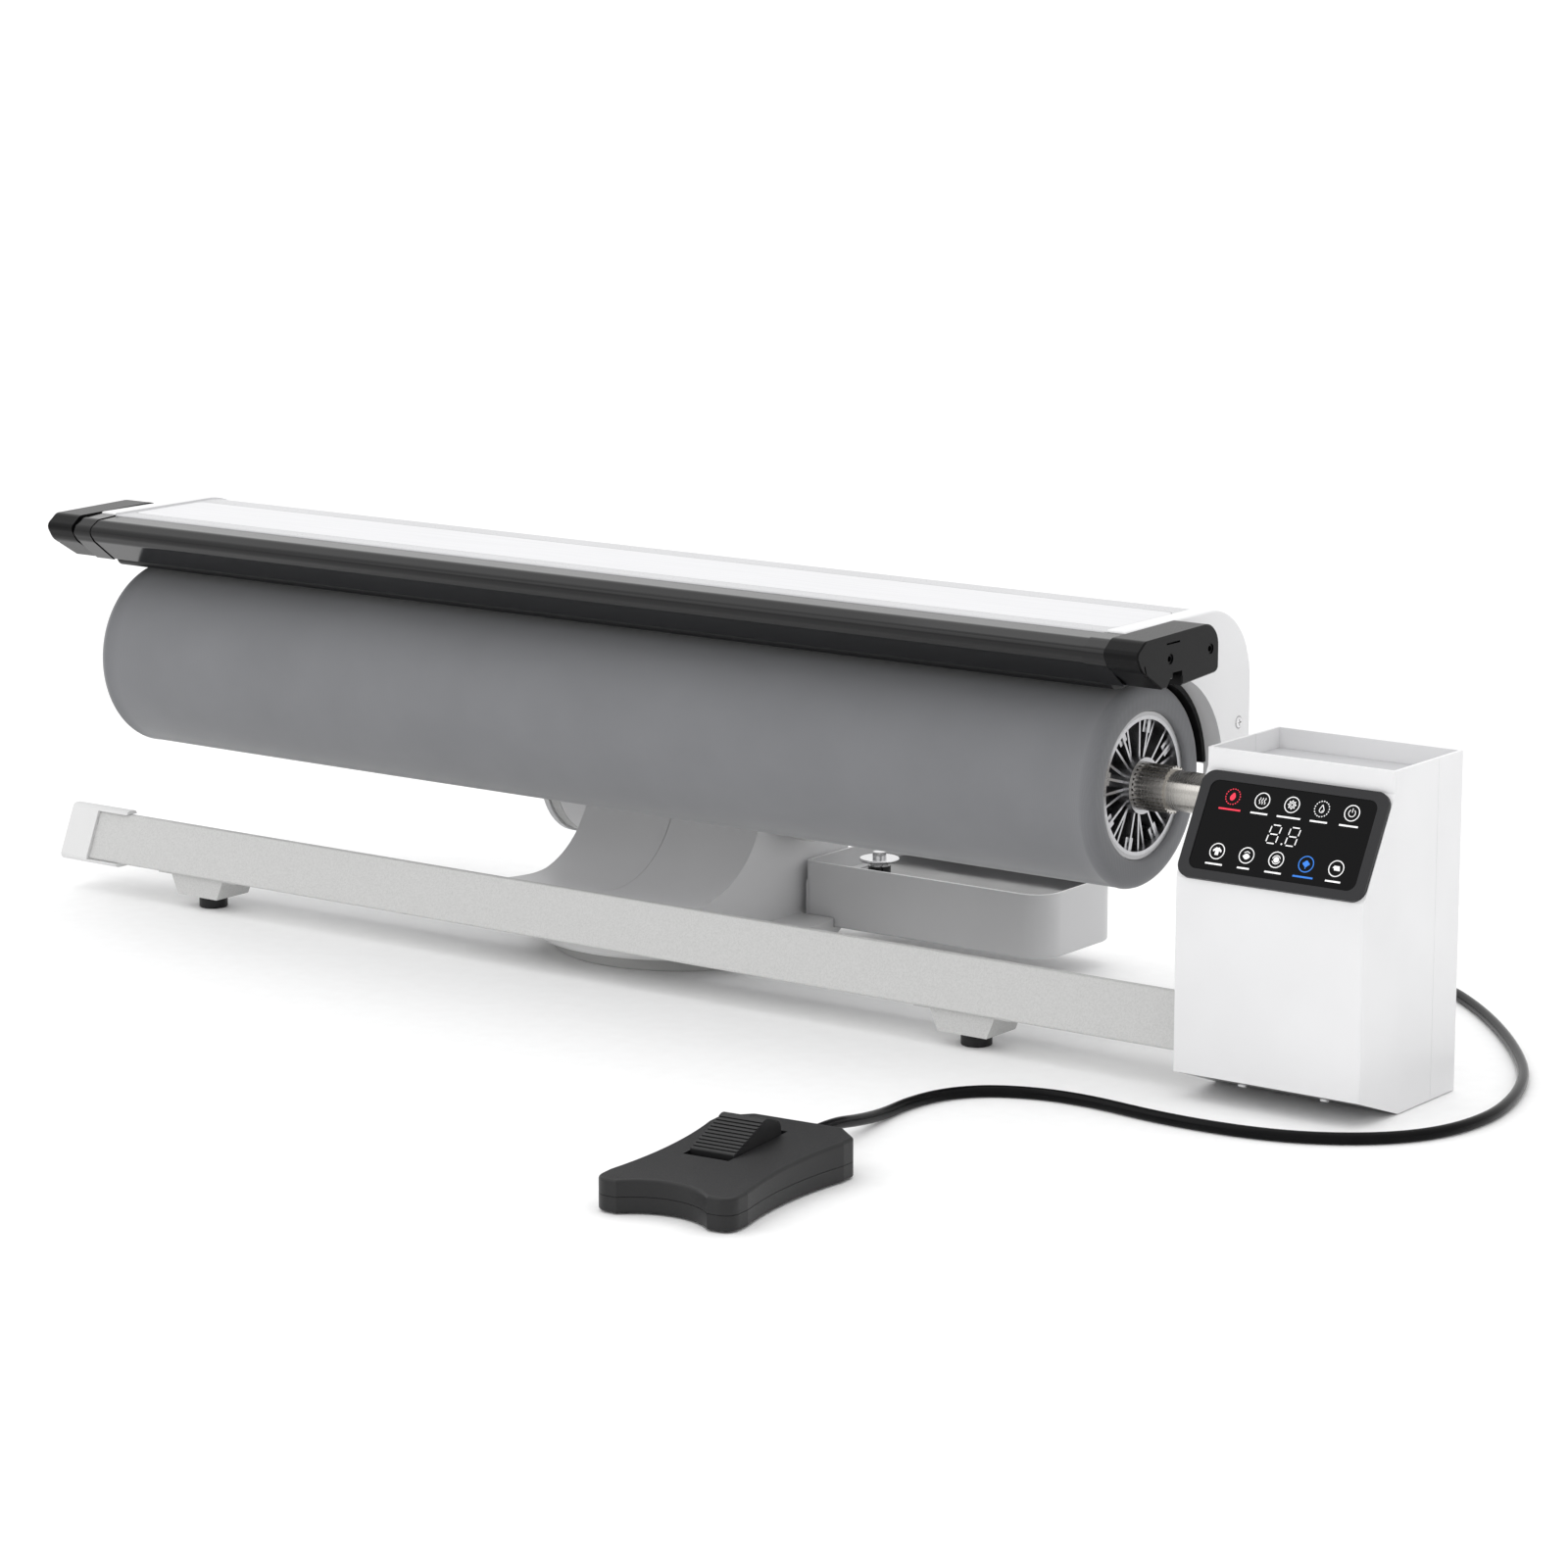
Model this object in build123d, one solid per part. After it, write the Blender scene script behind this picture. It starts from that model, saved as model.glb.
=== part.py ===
from build123d import *
import math
import os

# Rotary ironing press: a padded roller, held at one end only, turns under a heated shoe.
# Millimetres. X runs along the roller, Y points to the back, Z points up.
# The origin is on the standing surface, under the middle of the roller's axis.

# roller
roller_length = 859.0
roller_diameter = 134.0
padding_thickness = 19.5
padding_edge_radius = 9.0
core_wall = 2.5
roller_axis_height = 175.6
hub_recess = 3.0
hub_depth = 15.0
hub_web = 3.0
hub_fin_count = 24
hub_fin_thickness = 1.7
hub_boss_wall = 2.9
hub_screw_count = 8
shaft_diameter = 26.0
shaft_reach = 170.0
spline_count = 28
spline_depth = 0.9
spline_collar_thickness = 2.2
spline_collar_reach = 21.0

# base bar, leaning end to end with a narrow top
bar_bottom_height = 25.1
bar_height = 34.3
bar_front = -63.2
bar_front_lean = 14.3
bar_top_width = 4.5
bar_bottom_width = 43.0
bar_wall = 2.0
bar_corner = 1.4
bar_overhang = 41.5
bar_cap_thickness = 2.6
bar_cap_end_wall = 3.9
bar_cap_length = 26.3
bar_cap_lip = 29.0
foot_positions = (-343.4, 329.4)
foot_radius = 10.3
foot_height = 9.6
bracket_sheet = 1.5

# control housing
housing_gap = 71.9
housing_width = 132.3
housing_front = -79.3
housing_back = 40.4
housing_bottom = 0.8
housing_chin_height = 17.4
housing_chin_back = -31.4
housing_crease_height = 140.6
housing_panel_top = 202.2
housing_panel_back = -44.5
housing_rim_height = 216.3
housing_wall = 2.5
housing_seam = 9.0
housing_tray_depth = 12.9
panel_frame_raise = 2.8
panel_frame_radius = 9.0
panel_margin_side = 7.0
panel_margin_end = 6.0
panel_rebate = 4.0
board_margin = 6.65
board_key_margin = 7.0
glass_thickness = 1.8
glass_recess = 0.5
inlet_inset = 27.7
inlet_height = 48.0
gland_inset = 26.1
gland_height = 16.0
gland_length = 24.0

# needle bearings of the 28 x 35 x 20 size in a steel carrier
bearing_outer_diameter = 35.0
bearing_width = 20.0
carrier_wall = 5.0
gearbox_space = 50.3
drive_plate = 4.0

# shoe above the roller
plate_gap = 0.6
plate_thickness = 3.4
plate_overhang = 0.2
plate_rear_angle = 4.0
feed_joint = 12.0
feed_flat_depth = 44.0
feed_lip_rise = 8.0
shoe_top = 281.1
shoe_front = -46.0
shoe_back = 103.2
shoe_corner_radius = 49.3
shoe_bottom = 178.0
cover_wall = 2.6
end_cover_width = 14.6
end_cover_inset = 1.7
end_cover_raise = 1.1
end_cover_bottom = 170.0
cover_panel_front = -31.4
cover_panel_back = 40.3
cover_panel_sheet = 1.5
fascia_wall = 2.0
fascia_nose = -73.8
sleeve_length = 16.6
fascia_cap_length = 25.0
fascia_cap_gap = 0.3
element_radius = 4.0
element_angles = (34.0, 62.0, 88.0)
insulation_inner = 84.0
insulation_thickness = 9.0
insulation_angles = (38.0, 82.0)
bulkhead_sheet = 2.5

# pedestal and shoe hinge
pedestal_half_width = 76.2
pedestal_flare = 19.0
pedestal_wall = 3.0
pedestal_front_radius = 69.4
pedestal_top = 150.0
pedestal_back = 150.0
pedestal_seam = 0.4
base_bottom = 10.9
base_front = -33.6
base_back = 190.0
base_half_width = 110.0
pad_inset = 16.0
pivot_y = 106.4
pivot_z = 107.5
pivot_radius = 10.0
hinge_disc_radius = 47.0
arm_thickness = 8.0
arm_left_x = -112.0
arm_right_x = 84.0
column_sheet = 6.0
column_half_width = 62.0

# water tank
tray_left = 79.5
tray_length = 201.6
tray_front = 109.8
tray_back = 203.0
tray_bottom = 17.9
tray_top = 62.7
tray_wall = 2.5
tray_corner = 20.0
tank_start = 102.0
tank_gap = 1.5
tank_wall = 2.0
tank_top = 54.0
tank_neck = 7.0
tank_cap_x = 126.6
tank_cap_y = 134.4

# foot switch
pedal_x = 407.0
pedal_y = -406.5
pedal_turn = 5.0
pedal_width = 93.0
pedal_length = 149.0
pedal_front_height = 20.6
pedal_back_height = 25.6
pedal_split = 10.6
pedal_wall = 2.4
pedal_pad = 1.2
rocker_width = 30.0
rocker_offset = -9.0
rocker_front = -411.0
rocker_back = -362.0
rocker_rise = 14.0
rocker_rib_count = 10
pedal_exit_height = 14.0
relief_length = 20.0

# foot switch cord
cord_diameter = 7.5

# clearances
run_gap = 0.05
slip_gap = 0.2
moving_gap = 0.5

roller_radius = roller_diameter / 2
core_radius = roller_radius - padding_thickness
shaft_radius = shaft_diameter / 2
roller_end = roller_length / 2
housing_left = roller_end + housing_gap
housing_right = housing_left + housing_width
inlet_x = housing_right - inlet_inset
gland_x = housing_left + gland_inset
carrier_length = housing_width - gearbox_space
end_cover_start = roller_end - end_cover_inset
bar_left_end = -roller_end - bar_overhang
panel_opening = housing_width - 1.0 - 2 * (panel_margin_side + panel_rebate)
plate_inner = roller_radius + plate_gap
plate_outer = plate_inner + plate_thickness
bar_top_height = bar_bottom_height + bar_height
spline_outer = shaft_radius + run_gap + spline_collar_thickness
base_top = bar_bottom_height - 0.3
pedal_left = pedal_x - pedal_width / 2
pedal_right = pedal_x + pedal_width / 2
pedal_front = pedal_y - pedal_length / 2
pedal_back = pedal_y + pedal_length / 2
rocker_x = pedal_x + rocker_offset
PARTS = {}


def outline(*corners):
    """Closed outline in a sketch plane. A corner is (across, up) or (across, up, radius)."""
    points = [(c[0], c[1]) for c in corners]
    radii = [c[2] if len(c) == 3 else 0 for c in corners]
    return make_face(FilletPolyline(*points, radius=radii, close=True))


def along_x(sketch, start, end):
    """A side profile, drawn in Y and Z, pulled from start to end along X."""
    return extrude(Plane.YZ.offset(start) * sketch, amount=end - start)


def rod_x(radius, start, end, y=0.0, z=roller_axis_height):
    """A cylinder along X."""
    lying = Cylinder(radius, end - start, align=(Align.CENTER, Align.CENTER, Align.MIN))
    return Pos(start, y, z) * Rot(0, 90, 0) * lying


def tube_x(outer, inner, start, end, y=0.0, z=roller_axis_height):
    """A tube along X."""
    return rod_x(outer, start, end, y, z) - rod_x(inner, start - 1, end + 1, y, z)


def block(x0, x1, y0, y1, z0, z1):
    """A box between two corners."""
    return Pos(x0, y0, z0) * Box(x1 - x0, y1 - y0, z1 - z0, align=(Align.MIN,) * 3)


def circle_at(radius, y, z):
    """A circle in a side profile."""
    return Pos(y, z) * Circle(radius)


def post(radius, x, y, z0, z1):
    """An upright cylinder."""
    return Pos(x, y, z0) * Cylinder(radius, z1 - z0, align=(Align.CENTER, Align.CENTER, Align.MIN))


def mirrored(solid):
    """The same piece on the other side of the roller's middle."""
    return mirror(solid, about=Plane.YZ)


def cross_screw(radius, height):
    """A screw head, flat side on Z = 0, with a cross recess."""
    head = Cylinder(radius, height, align=(Align.CENTER, Align.CENTER, Align.MIN))
    head = fillet(head.edges().sort_by(Axis.Z)[-1], height * 0.45)
    slot = Pos(0, 0, height) * Box(radius * 1.2, radius * 0.28, height * 0.9)
    return head - slot - Rot(0, 0, 90) * slot


# ---- roller ---------------------------------------------------------------------------

def roller_padding():
    """Thick felt-like sleeve with rounded outer edges."""
    sleeve = tube_x(roller_radius, core_radius + slip_gap / 2, -roller_end, roller_end)
    rims = sleeve.edges().filter_by(GeomType.CIRCLE).filter_by(lambda e: e.radius > roller_radius - 1)
    return fillet(rims, padding_edge_radius)


def hub_casting():
    """Spoked end casting of the roller, seen at its right end."""
    rim_outer = core_radius - core_wall - slip_gap / 2
    rim_inner = rim_outer - 2.4
    boss_inner = spline_outer + run_gap
    boss_outer = boss_inner + hub_boss_wall
    face = roller_end - hub_recess
    back = face - hub_depth
    casting = tube_x(rim_outer, rim_inner, back, face)
    casting += tube_x(boss_outer, boss_inner, back, face + 1.5)
    casting += tube_x(rim_inner + 0.5, boss_outer - 0.5, back, back + hub_web)
    fin_inner = boss_outer - 0.6
    fin_outer = rim_inner + 0.6
    for i in range(hub_fin_count):
        long_fin = i % 3 != 1
        depth = hub_depth - (2.5 if long_fin else 5.5)
        fin = block(back, back + depth, -hub_fin_thickness / 2, hub_fin_thickness / 2, fin_inner, fin_outer)
        angle = 360 * i / hub_fin_count
        casting += Pos(0, 0, roller_axis_height) * Rot(angle, 0, 0) * fin
    for i in range(hub_screw_count):
        angle = 360 * (i + 0.5) / hub_screw_count + 7.5
        lug = block(back, face - 3.5, -4.2, 4.2, rim_inner - 8.6, rim_inner + 0.6)
        hole = rod_x(1.9, back + 4, face, 0, rim_inner - 4.4)
        casting += Pos(0, 0, roller_axis_height) * Rot(angle, 0, 0) * (lug - hole)
    return casting


def splined_collar():
    """Clamping collar with fine splines, between the shaft and the right hub."""
    start = roller_end - hub_recess - hub_depth + 1.0
    end = roller_end + spline_collar_reach
    collar = tube_x(spline_outer, shaft_radius + run_gap, start, end)
    groove = block(start - 1, end + 1, -0.75, 0.75, spline_outer - spline_depth, spline_outer + 1)
    for i in range(spline_count):
        turn = Rot(360 * i / spline_count, 0, 0)
        collar -= Pos(0, 0, roller_axis_height) * turn * groove
    return collar


def build_roller():
    hub = hub_casting()
    hub_face = roller_end - hub_recess
    inner_disc_x = roller_end - shaft_reach
    PARTS["roller_padding"] = roller_padding()
    PARTS["roller_core_tube"] = tube_x(core_radius, core_radius - core_wall, -hub_face, hub_face)
    PARTS["hub_right"] = hub
    PARTS["hub_left"] = mirrored(hub) + rod_x(spline_outer + 1, -hub_face - 1.5, -hub_face + hub_depth)
    PARTS["splined_collar"] = splined_collar()
    shaft = rod_x(shaft_radius, inner_disc_x - 6, housing_right - 12)
    shaft += rod_x(core_radius - core_wall - slip_gap / 2, inner_disc_x, inner_disc_x + 8)
    PARTS["roller_shaft"] = shaft


# ---- base bar and feet ----------------------------------------------------------------

def bar_profile(grow=0.0):
    """Section of the leaning bar, or the same grown on every side."""
    lean = bar_front_lean / bar_height
    rise = grow * 1.1
    front_foot = bar_front - grow - lean * rise
    front_top = bar_front + bar_front_lean - grow * 0.9 + lean * rise
    back_top = bar_front + bar_front_lean + bar_top_width + grow * 0.9
    back_foot = bar_front + bar_bottom_width + grow * 1.2
    corner = bar_corner + grow if grow >= 0 else 0.15
    return outline(
        (front_foot, bar_bottom_height - rise, corner),
        (front_top, bar_top_height + rise, corner),
        (back_top, bar_top_height + rise, corner),
        (back_foot, bar_bottom_height - rise, corner),
    )


def bar_back_at(height):
    """Y of the bar's rear face at a height."""
    share = (height - bar_bottom_height) / bar_height
    bottom = bar_front + bar_bottom_width
    top = bar_front + bar_front_lean + bar_top_width
    return bottom + (top - bottom) * share


def foot_bracket(x):
    """Pressed-steel hat under the bar that carries a rubber foot."""
    top = bar_bottom_height
    low = foot_height
    y0 = bar_front + 4.5
    y1 = bar_front + 38
    sheet = bracket_sheet
    hat = Polygon(
        (x - 38, top), (x - 38, top - sheet), (x - 25, top - sheet), (x - 19, low), (x + 19, low),
        (x + 25, top - sheet), (x + 38, top - sheet), (x + 38, top), (x + 24, top),
        (x + 18, low + sheet), (x - 18, low + sheet), (x - 24, top), align=None)
    shell = extrude(Plane.XZ.offset(-y1) * hat, amount=y1 - y0)
    face = Polygon((x - 25, top), (x - 19, low), (x + 19, low), (x + 25, top), align=None)
    shell += extrude(Plane.XZ.offset(-y0 - sheet) * face, amount=sheet)
    for side in (-1, 1):
        rivet = Pos(x + side * 32, (y0 + y1) / 2, top - sheet) * Rot(180, 0, 0) * cross_screw(3.0, 1.5)
        shell += rivet
    return shell


def rubber_foot(x):
    """Short rubber foot with a rounded sole."""
    foot = post(foot_radius, x, bar_front + 21.4, 0, foot_height)
    return fillet(foot.edges().sort_by(Axis.Z)[0], 1.0)


def build_bar():
    bar_right_end = housing_left + 98.0
    bar = along_x(bar_profile() - bar_profile(-bar_wall), bar_left_end, bar_right_end)
    PARTS["base_bar"] = bar
    cap_left = bar_left_end - bar_cap_end_wall
    cap = along_x(bar_profile(bar_cap_thickness), cap_left, cap_left + bar_cap_length + bar_cap_lip)
    cap -= along_x(bar_profile(slip_gap / 2), bar_left_end - slip_gap / 2, housing_left)
    front_window = block(cap_left + bar_cap_length, housing_left, bar_front - 12,
                         bar_front + bar_front_lean + bar_top_width + 14,
                         bar_bottom_height, bar_top_height)
    cap -= front_window
    PARTS["bar_end_cap"] = cap
    PARTS["foot_brackets"] = Compound([foot_bracket(x) for x in foot_positions])
    PARTS["rubber_feet"] = Compound([rubber_foot(x) for x in foot_positions])


# ---- control housing ------------------------------------------------------------------

panel_slope = math.hypot(housing_panel_back - housing_front, housing_panel_top - housing_crease_height)
panel_up_y = (housing_panel_back - housing_front) / panel_slope
panel_up_z = (housing_panel_top - housing_crease_height) / panel_slope
panel_plane = Plane(
    origin=(
        housing_left + housing_width / 2,
        (housing_front + housing_panel_back) / 2,
        (housing_crease_height + housing_panel_top) / 2,
    ),
    x_dir=(1, 0, 0),
    z_dir=(0, -panel_up_z, panel_up_y),
)


def panel_slab(width, height, radius, low, high):
    """A rounded slab on the sloping panel, from low to high above the housing's face."""
    return extrude(panel_plane.offset(low) * RectangleRounded(width, height, radius), amount=high - low)


def housing_solid():
    """Outer shape of the control housing, without its hollow."""
    side = outline(
        (housing_chin_back, housing_bottom),
        (housing_front, housing_chin_height),
        (housing_front, housing_crease_height),
        (housing_panel_back, housing_panel_top),
        (housing_panel_back, housing_rim_height),
        (housing_back, housing_rim_height),
        (housing_back, housing_bottom),
    )
    solid = along_x(side, housing_left, housing_right)
    upright = solid.edges().filter_by(Axis.Z)
    return fillet(upright, 1.6)


def housing_shells():
    """Front and back shells, open at the top and at the bottom."""
    wall = housing_wall
    inner_panel = wall / panel_up_z
    hollow = outline(
        (housing_front + wall, housing_bottom - 9),
        (housing_front + wall, housing_crease_height - inner_panel * 0.2),
        (housing_panel_back + wall, housing_panel_top + inner_panel * 0.1),
        (housing_panel_back + wall, housing_rim_height + 9),
        (housing_back - wall, housing_rim_height + 9),
        (housing_back - wall, housing_bottom - 9),
    )
    shell = housing_solid() - along_x(hollow, housing_left + wall, housing_right - wall)
    bar_hole = along_x(bar_profile(slip_gap), housing_left - 1, housing_left + wall + 1)
    shaft_hole = rod_x(shaft_radius + 1.0, housing_left - 1, housing_left + wall + 1)
    shell = shell - bar_hole - shaft_hole
    window = panel_slab(housing_width - 24, panel_slope - 16, 3, -wall * 2, 6)
    shell -= window
    half_seam = slip_gap / 2
    big = 400.0
    front = shell & block(housing_left - 5, housing_right + 5, -big, housing_seam - half_seam, -5, big)
    back = shell & block(housing_left - 5, housing_right + 5, housing_seam + half_seam, big, -5, big)
    back -= rod_y(gland_x, gland_height, 5.0, housing_back - wall - 1, housing_back + 1)
    cutout = block(inlet_x - 13.8, inlet_x + 13.8, housing_back - wall - 1, housing_back + 1,
                   inlet_height - 10.2, inlet_height + 10.2)
    back -= cutout
    return front, back


def rod_y(x, z, radius, start, end):
    """A cylinder along Y."""
    lying = Cylinder(radius, end - start, align=(Align.CENTER, Align.CENTER, Align.MIN))
    return Pos(x, start, z) * Rot(-90, 0, 0) * lying


def cone_y(x, z, radius_start, radius_end, start, end):
    """A cone along Y."""
    lying = Cone(radius_start, radius_end, end - start, align=(Align.CENTER, Align.CENTER, Align.MIN))
    return Pos(x, start, z) * Rot(-90, 0, 0) * lying


def housing_bottom_plate():
    """Bottom plate that folds up along the chin."""
    slope = (housing_bottom - housing_chin_height) / (housing_chin_back - housing_front)
    y0 = housing_front + housing_wall + slip_gap
    y1 = housing_back - housing_wall - slip_gap
    z0 = housing_chin_height + slope * (y0 - housing_front)
    sheet = 1.6
    fold = outline(
        (y0, z0), (housing_chin_back, housing_bottom), (y1, housing_bottom),
        (y1, housing_bottom + sheet), (housing_chin_back + 0.3, housing_bottom + sheet), (y0, z0 + sheet))
    x0 = housing_left + housing_wall + slip_gap
    x1 = housing_right - housing_wall - slip_gap
    return along_x(fold, x0, x1)


def chin_screws():
    """Two pan-head screws in the chin."""
    y = (housing_front + housing_chin_back) / 2 + 4
    slope = (housing_bottom - housing_chin_height) / (housing_chin_back - housing_front)
    z = housing_chin_height + slope * (y - housing_front)
    tilt = 180 + math.degrees(math.atan(slope))
    heads = []
    for share in (0.26, 0.70):
        x = housing_left + housing_width * share
        heads.append(Pos(x, y, z) * Rot(tilt, 0, 0) * cross_screw(3.4, 1.8))
    return heads


def tray_screws():
    """Two screws that hold the tray's step down."""
    return [Pos(tray_left + 8, y, tray_top - 14) * cross_screw(3.2, 2)
            for y in (tray_front + 14, tray_back - 14)]


def mains_inlet():
    """Appliance inlet of the common 3-pin kind, with its rim outside the back wall."""
    outer_w, outer_h = 27.2, 20.0
    depth = 20.0
    back = housing_back
    body = block(inlet_x - outer_w / 2, inlet_x + outer_w / 2, back - depth, back + 1.6,
                 inlet_height - outer_h / 2, inlet_height + outer_h / 2)
    flange = block(inlet_x - 16, inlet_x + 16, back, back + 1.6, inlet_height - 12.5, inlet_height + 12.5)
    cavity = extrude(
        Plane.XZ.offset(-(back + 2)) * outline(
            (inlet_x - 12.2, inlet_height - 8.3, 1), (inlet_x + 12.2, inlet_height - 8.3, 1),
            (inlet_x + 12.2, inlet_height + 3.8, 1), (inlet_x + 7.6, inlet_height + 8.3, 1),
            (inlet_x - 7.6, inlet_height + 8.3, 1), (inlet_x - 12.2, inlet_height + 3.8, 1)),
        amount=19.0)
    inlet = body + flange - cavity
    for dx, dz in ((-7.0, -2.0), (0.0, 2.0), (7.0, -2.0)):
        inlet += block(inlet_x + dx - 1, inlet_x + dx + 1, back - 18, back - 5,
                       inlet_height + dz - 2, inlet_height + dz + 2)
    return inlet


def drive_bracket():
    """Two steel plates and a rear web that tie the bearing carrier to the base bar."""
    x0 = housing_left + housing_wall + slip_gap
    x1 = x0 + carrier_length - 2
    carrier_outer = bearing_outer_diameter / 2 + carrier_wall
    shape = outline(
        (bar_front + 2, bar_bottom_height - 6, 3), (-30, roller_axis_height + 4, 14),
        (0, roller_axis_height + carrier_outer + 2, 10), (30, roller_axis_height + 4, 14),
        (34, bar_bottom_height - 6, 3))
    shape -= circle_at(carrier_outer + run_gap, 0, roller_axis_height)
    shape -= bar_profile(slip_gap / 2)
    plates = along_x(shape, x0, x0 + drive_plate) + along_x(shape, x1 - drive_plate, x1)
    return plates + block(x0, x1, 26, 30, bar_bottom_height, 130)


def shaft_carrier():
    """Turned tube that holds the two needle bearings."""
    x0 = housing_left + housing_wall + slip_gap
    return tube_x(bearing_outer_diameter / 2 + carrier_wall, bearing_outer_diameter / 2 + run_gap,
                  x0, x0 + carrier_length)


def needle_bearings():
    x0 = housing_left + housing_wall + slip_gap + 3
    x1 = x0 + carrier_length - 6 - bearing_width
    outer = bearing_outer_diameter / 2
    return Compound([tube_x(outer, shaft_radius + run_gap, x, x + bearing_width) for x in (x0, x1)])


def roller_gearmotor():
    """Worm gearbox with a hollow output round the shaft's end, and its motor below."""
    x0 = housing_left + housing_wall + slip_gap + carrier_length + slip_gap
    x1 = housing_right - housing_wall - 1.0
    box = block(x0, x1, -26, 26, roller_axis_height - 40, roller_axis_height + 22)
    box = fillet(box.edges().filter_by(Axis.X), 6)
    box -= rod_x(shaft_radius + 2 * run_gap, x0 - 1, x1 + 1)
    centre = (x0 + x1) / 2
    motor_top = roller_axis_height - 40
    motor = post(18.5, centre, 0, motor_top - 78, motor_top)
    return box + motor


def control_board():
    """Circuit board behind the glass with its display and key pads."""
    face = panel_frame_raise - glass_recess - glass_thickness
    width = panel_opening - 2 * board_margin
    key_pitch = (width - 2 * board_key_margin) / 4
    board = panel_slab(width, 50, 2, face - 8.5, face - 6.9)
    board += panel_slab(30, 14, 1, face - 7, face - slip_gap)
    for row in (-17, 17):
        for i in range(5):
            key = Pos((i - 2) * key_pitch, row) * Circle(4)
            board += extrude(panel_plane.offset(face - 7) * key, amount=7 - slip_gap)
    return board


def build_housing():
    front, back = housing_shells()
    PARTS["housing_front"] = front
    PARTS["housing_back"] = back
    PARTS["housing_bottom_plate"] = housing_bottom_plate()
    floor_top = housing_rim_height - housing_tray_depth
    inset = housing_wall + slip_gap
    PARTS["housing_top_tray"] = block(
        housing_left + inset, housing_right - inset, housing_panel_back + inset, housing_back - inset,
        floor_top - 2.0, floor_top)
    frame = panel_slab(housing_width - 1.0, panel_slope - 0.6, panel_frame_radius, 0, panel_frame_raise)
    glass_w = housing_width - 1.0 - 2 * panel_margin_side
    glass_h = panel_slope - 0.6 - 2 * panel_margin_end
    glass_top = panel_frame_raise - glass_recess
    frame -= panel_slab(glass_w, glass_h, panel_frame_radius - 3, glass_top - glass_thickness, 9)
    frame -= panel_slab(panel_opening, glass_h - 6, 3, -5, 9)
    PARTS["panel_frame"] = frame
    fit = 2 * slip_gap
    PARTS["panel_glass"] = panel_slab(
        glass_w - fit, glass_h - fit, panel_frame_radius - 3 - slip_gap, glass_top - glass_thickness, glass_top)
    PARTS["control_board"] = control_board()
    PARTS["drive_bracket"] = drive_bracket()
    PARTS["shaft_carrier"] = shaft_carrier()
    PARTS["needle_bearings"] = needle_bearings()
    PARTS["roller_gearmotor"] = roller_gearmotor()
    PARTS["mains_inlet"] = mains_inlet()
    collar = rod_y(gland_x, gland_height, 8.0, housing_back, housing_back + 3)
    tail = cone_y(gland_x, gland_height, 7.0, 5.0, housing_back + 3, housing_back + gland_length)
    root = rod_y(gland_x, gland_height, 4.9, housing_back - housing_wall - 3, housing_back)
    PARTS["cord_gland"] = collar + tail + root
    PARTS["case_screws"] = Compound(chin_screws() + tray_screws())


# ---- shoe -----------------------------------------------------------------------------

def half_turn_ring(inner, outer, low_angle, high_angle):
    """Ring sector round the roller's axis in the side profile, angles from +Y upwards."""
    ends = []
    for radius in (inner, outer):
        arc = []
        for angle in (low_angle, (low_angle + high_angle) / 2, high_angle):
            a = math.radians(angle)
            arc.append((radius * math.cos(a), roller_axis_height + radius * math.sin(a)))
        ends.append(arc)
    inside, outside = ends
    return make_face([
        ThreePointArc(*inside), Line(inside[2], outside[2]),
        ThreePointArc(*outside), Line(outside[0], inside[0])])


def shoe_plate():
    """Curved pressing plate that wraps the rear upper quarter of the roller."""
    end = roller_end + plate_overhang
    low = roller_axis_height + plate_inner
    arc = along_x(half_turn_ring(plate_inner, plate_outer, plate_rear_angle, 90), -end, end)
    return arc + block(-end, end, -feed_joint, 0, low, low + plate_thickness)


def feed_lip():
    """Stainless lip in front of the plate: a flat run that curls up under the fascia."""
    end = roller_end + plate_overhang
    low = roller_axis_height + plate_inner
    top = low + plate_thickness
    front = -feed_flat_depth
    section = outline(
        (-feed_joint - slip_gap, low), (front, low, feed_lip_rise - 0.5), (front, low + feed_lip_rise),
        (front + plate_thickness, low + feed_lip_rise),
        (front + plate_thickness, top, feed_lip_rise - plate_thickness - 0.5),
        (-feed_joint - slip_gap, top))
    return along_x(section, -end, end)


def shoe_cover():
    """White shell over the top and back of the shoe, between the end covers."""
    wall = cover_wall
    shell = outline(
        (shoe_front, shoe_top - 19), (shoe_front, shoe_top, 1.5), (shoe_back, shoe_top, shoe_corner_radius),
        (shoe_back, shoe_bottom, 2), (shoe_back - 28, shoe_bottom))
    hollow = outline(
        (shoe_front + wall, shoe_top - 51), (shoe_front + wall, shoe_top - wall),
        (shoe_back - wall, shoe_top - wall, shoe_corner_radius - wall),
        (shoe_back - wall, shoe_bottom + wall), (30, shoe_bottom + wall))
    end = end_cover_start - slip_gap
    cover = along_x(shell - hollow, -end, end)
    pocket_y = (cover_panel_front + cover_panel_back) / 2
    pocket = RectangleRounded(2 * end - 6, cover_panel_back - cover_panel_front, 7)
    cover -= extrude(Plane.XY.offset(shoe_top - cover_panel_sheet) * Pos(0, pocket_y) * pocket, amount=9)
    for x in (arm_left_x, arm_right_x):
        cover -= block(x - 1.5, x + arm_thickness + 1.5, shoe_back - 29, shoe_back - wall - 0.5,
                       shoe_bottom - 1, shoe_bottom + wall + 1)
    return cover


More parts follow.
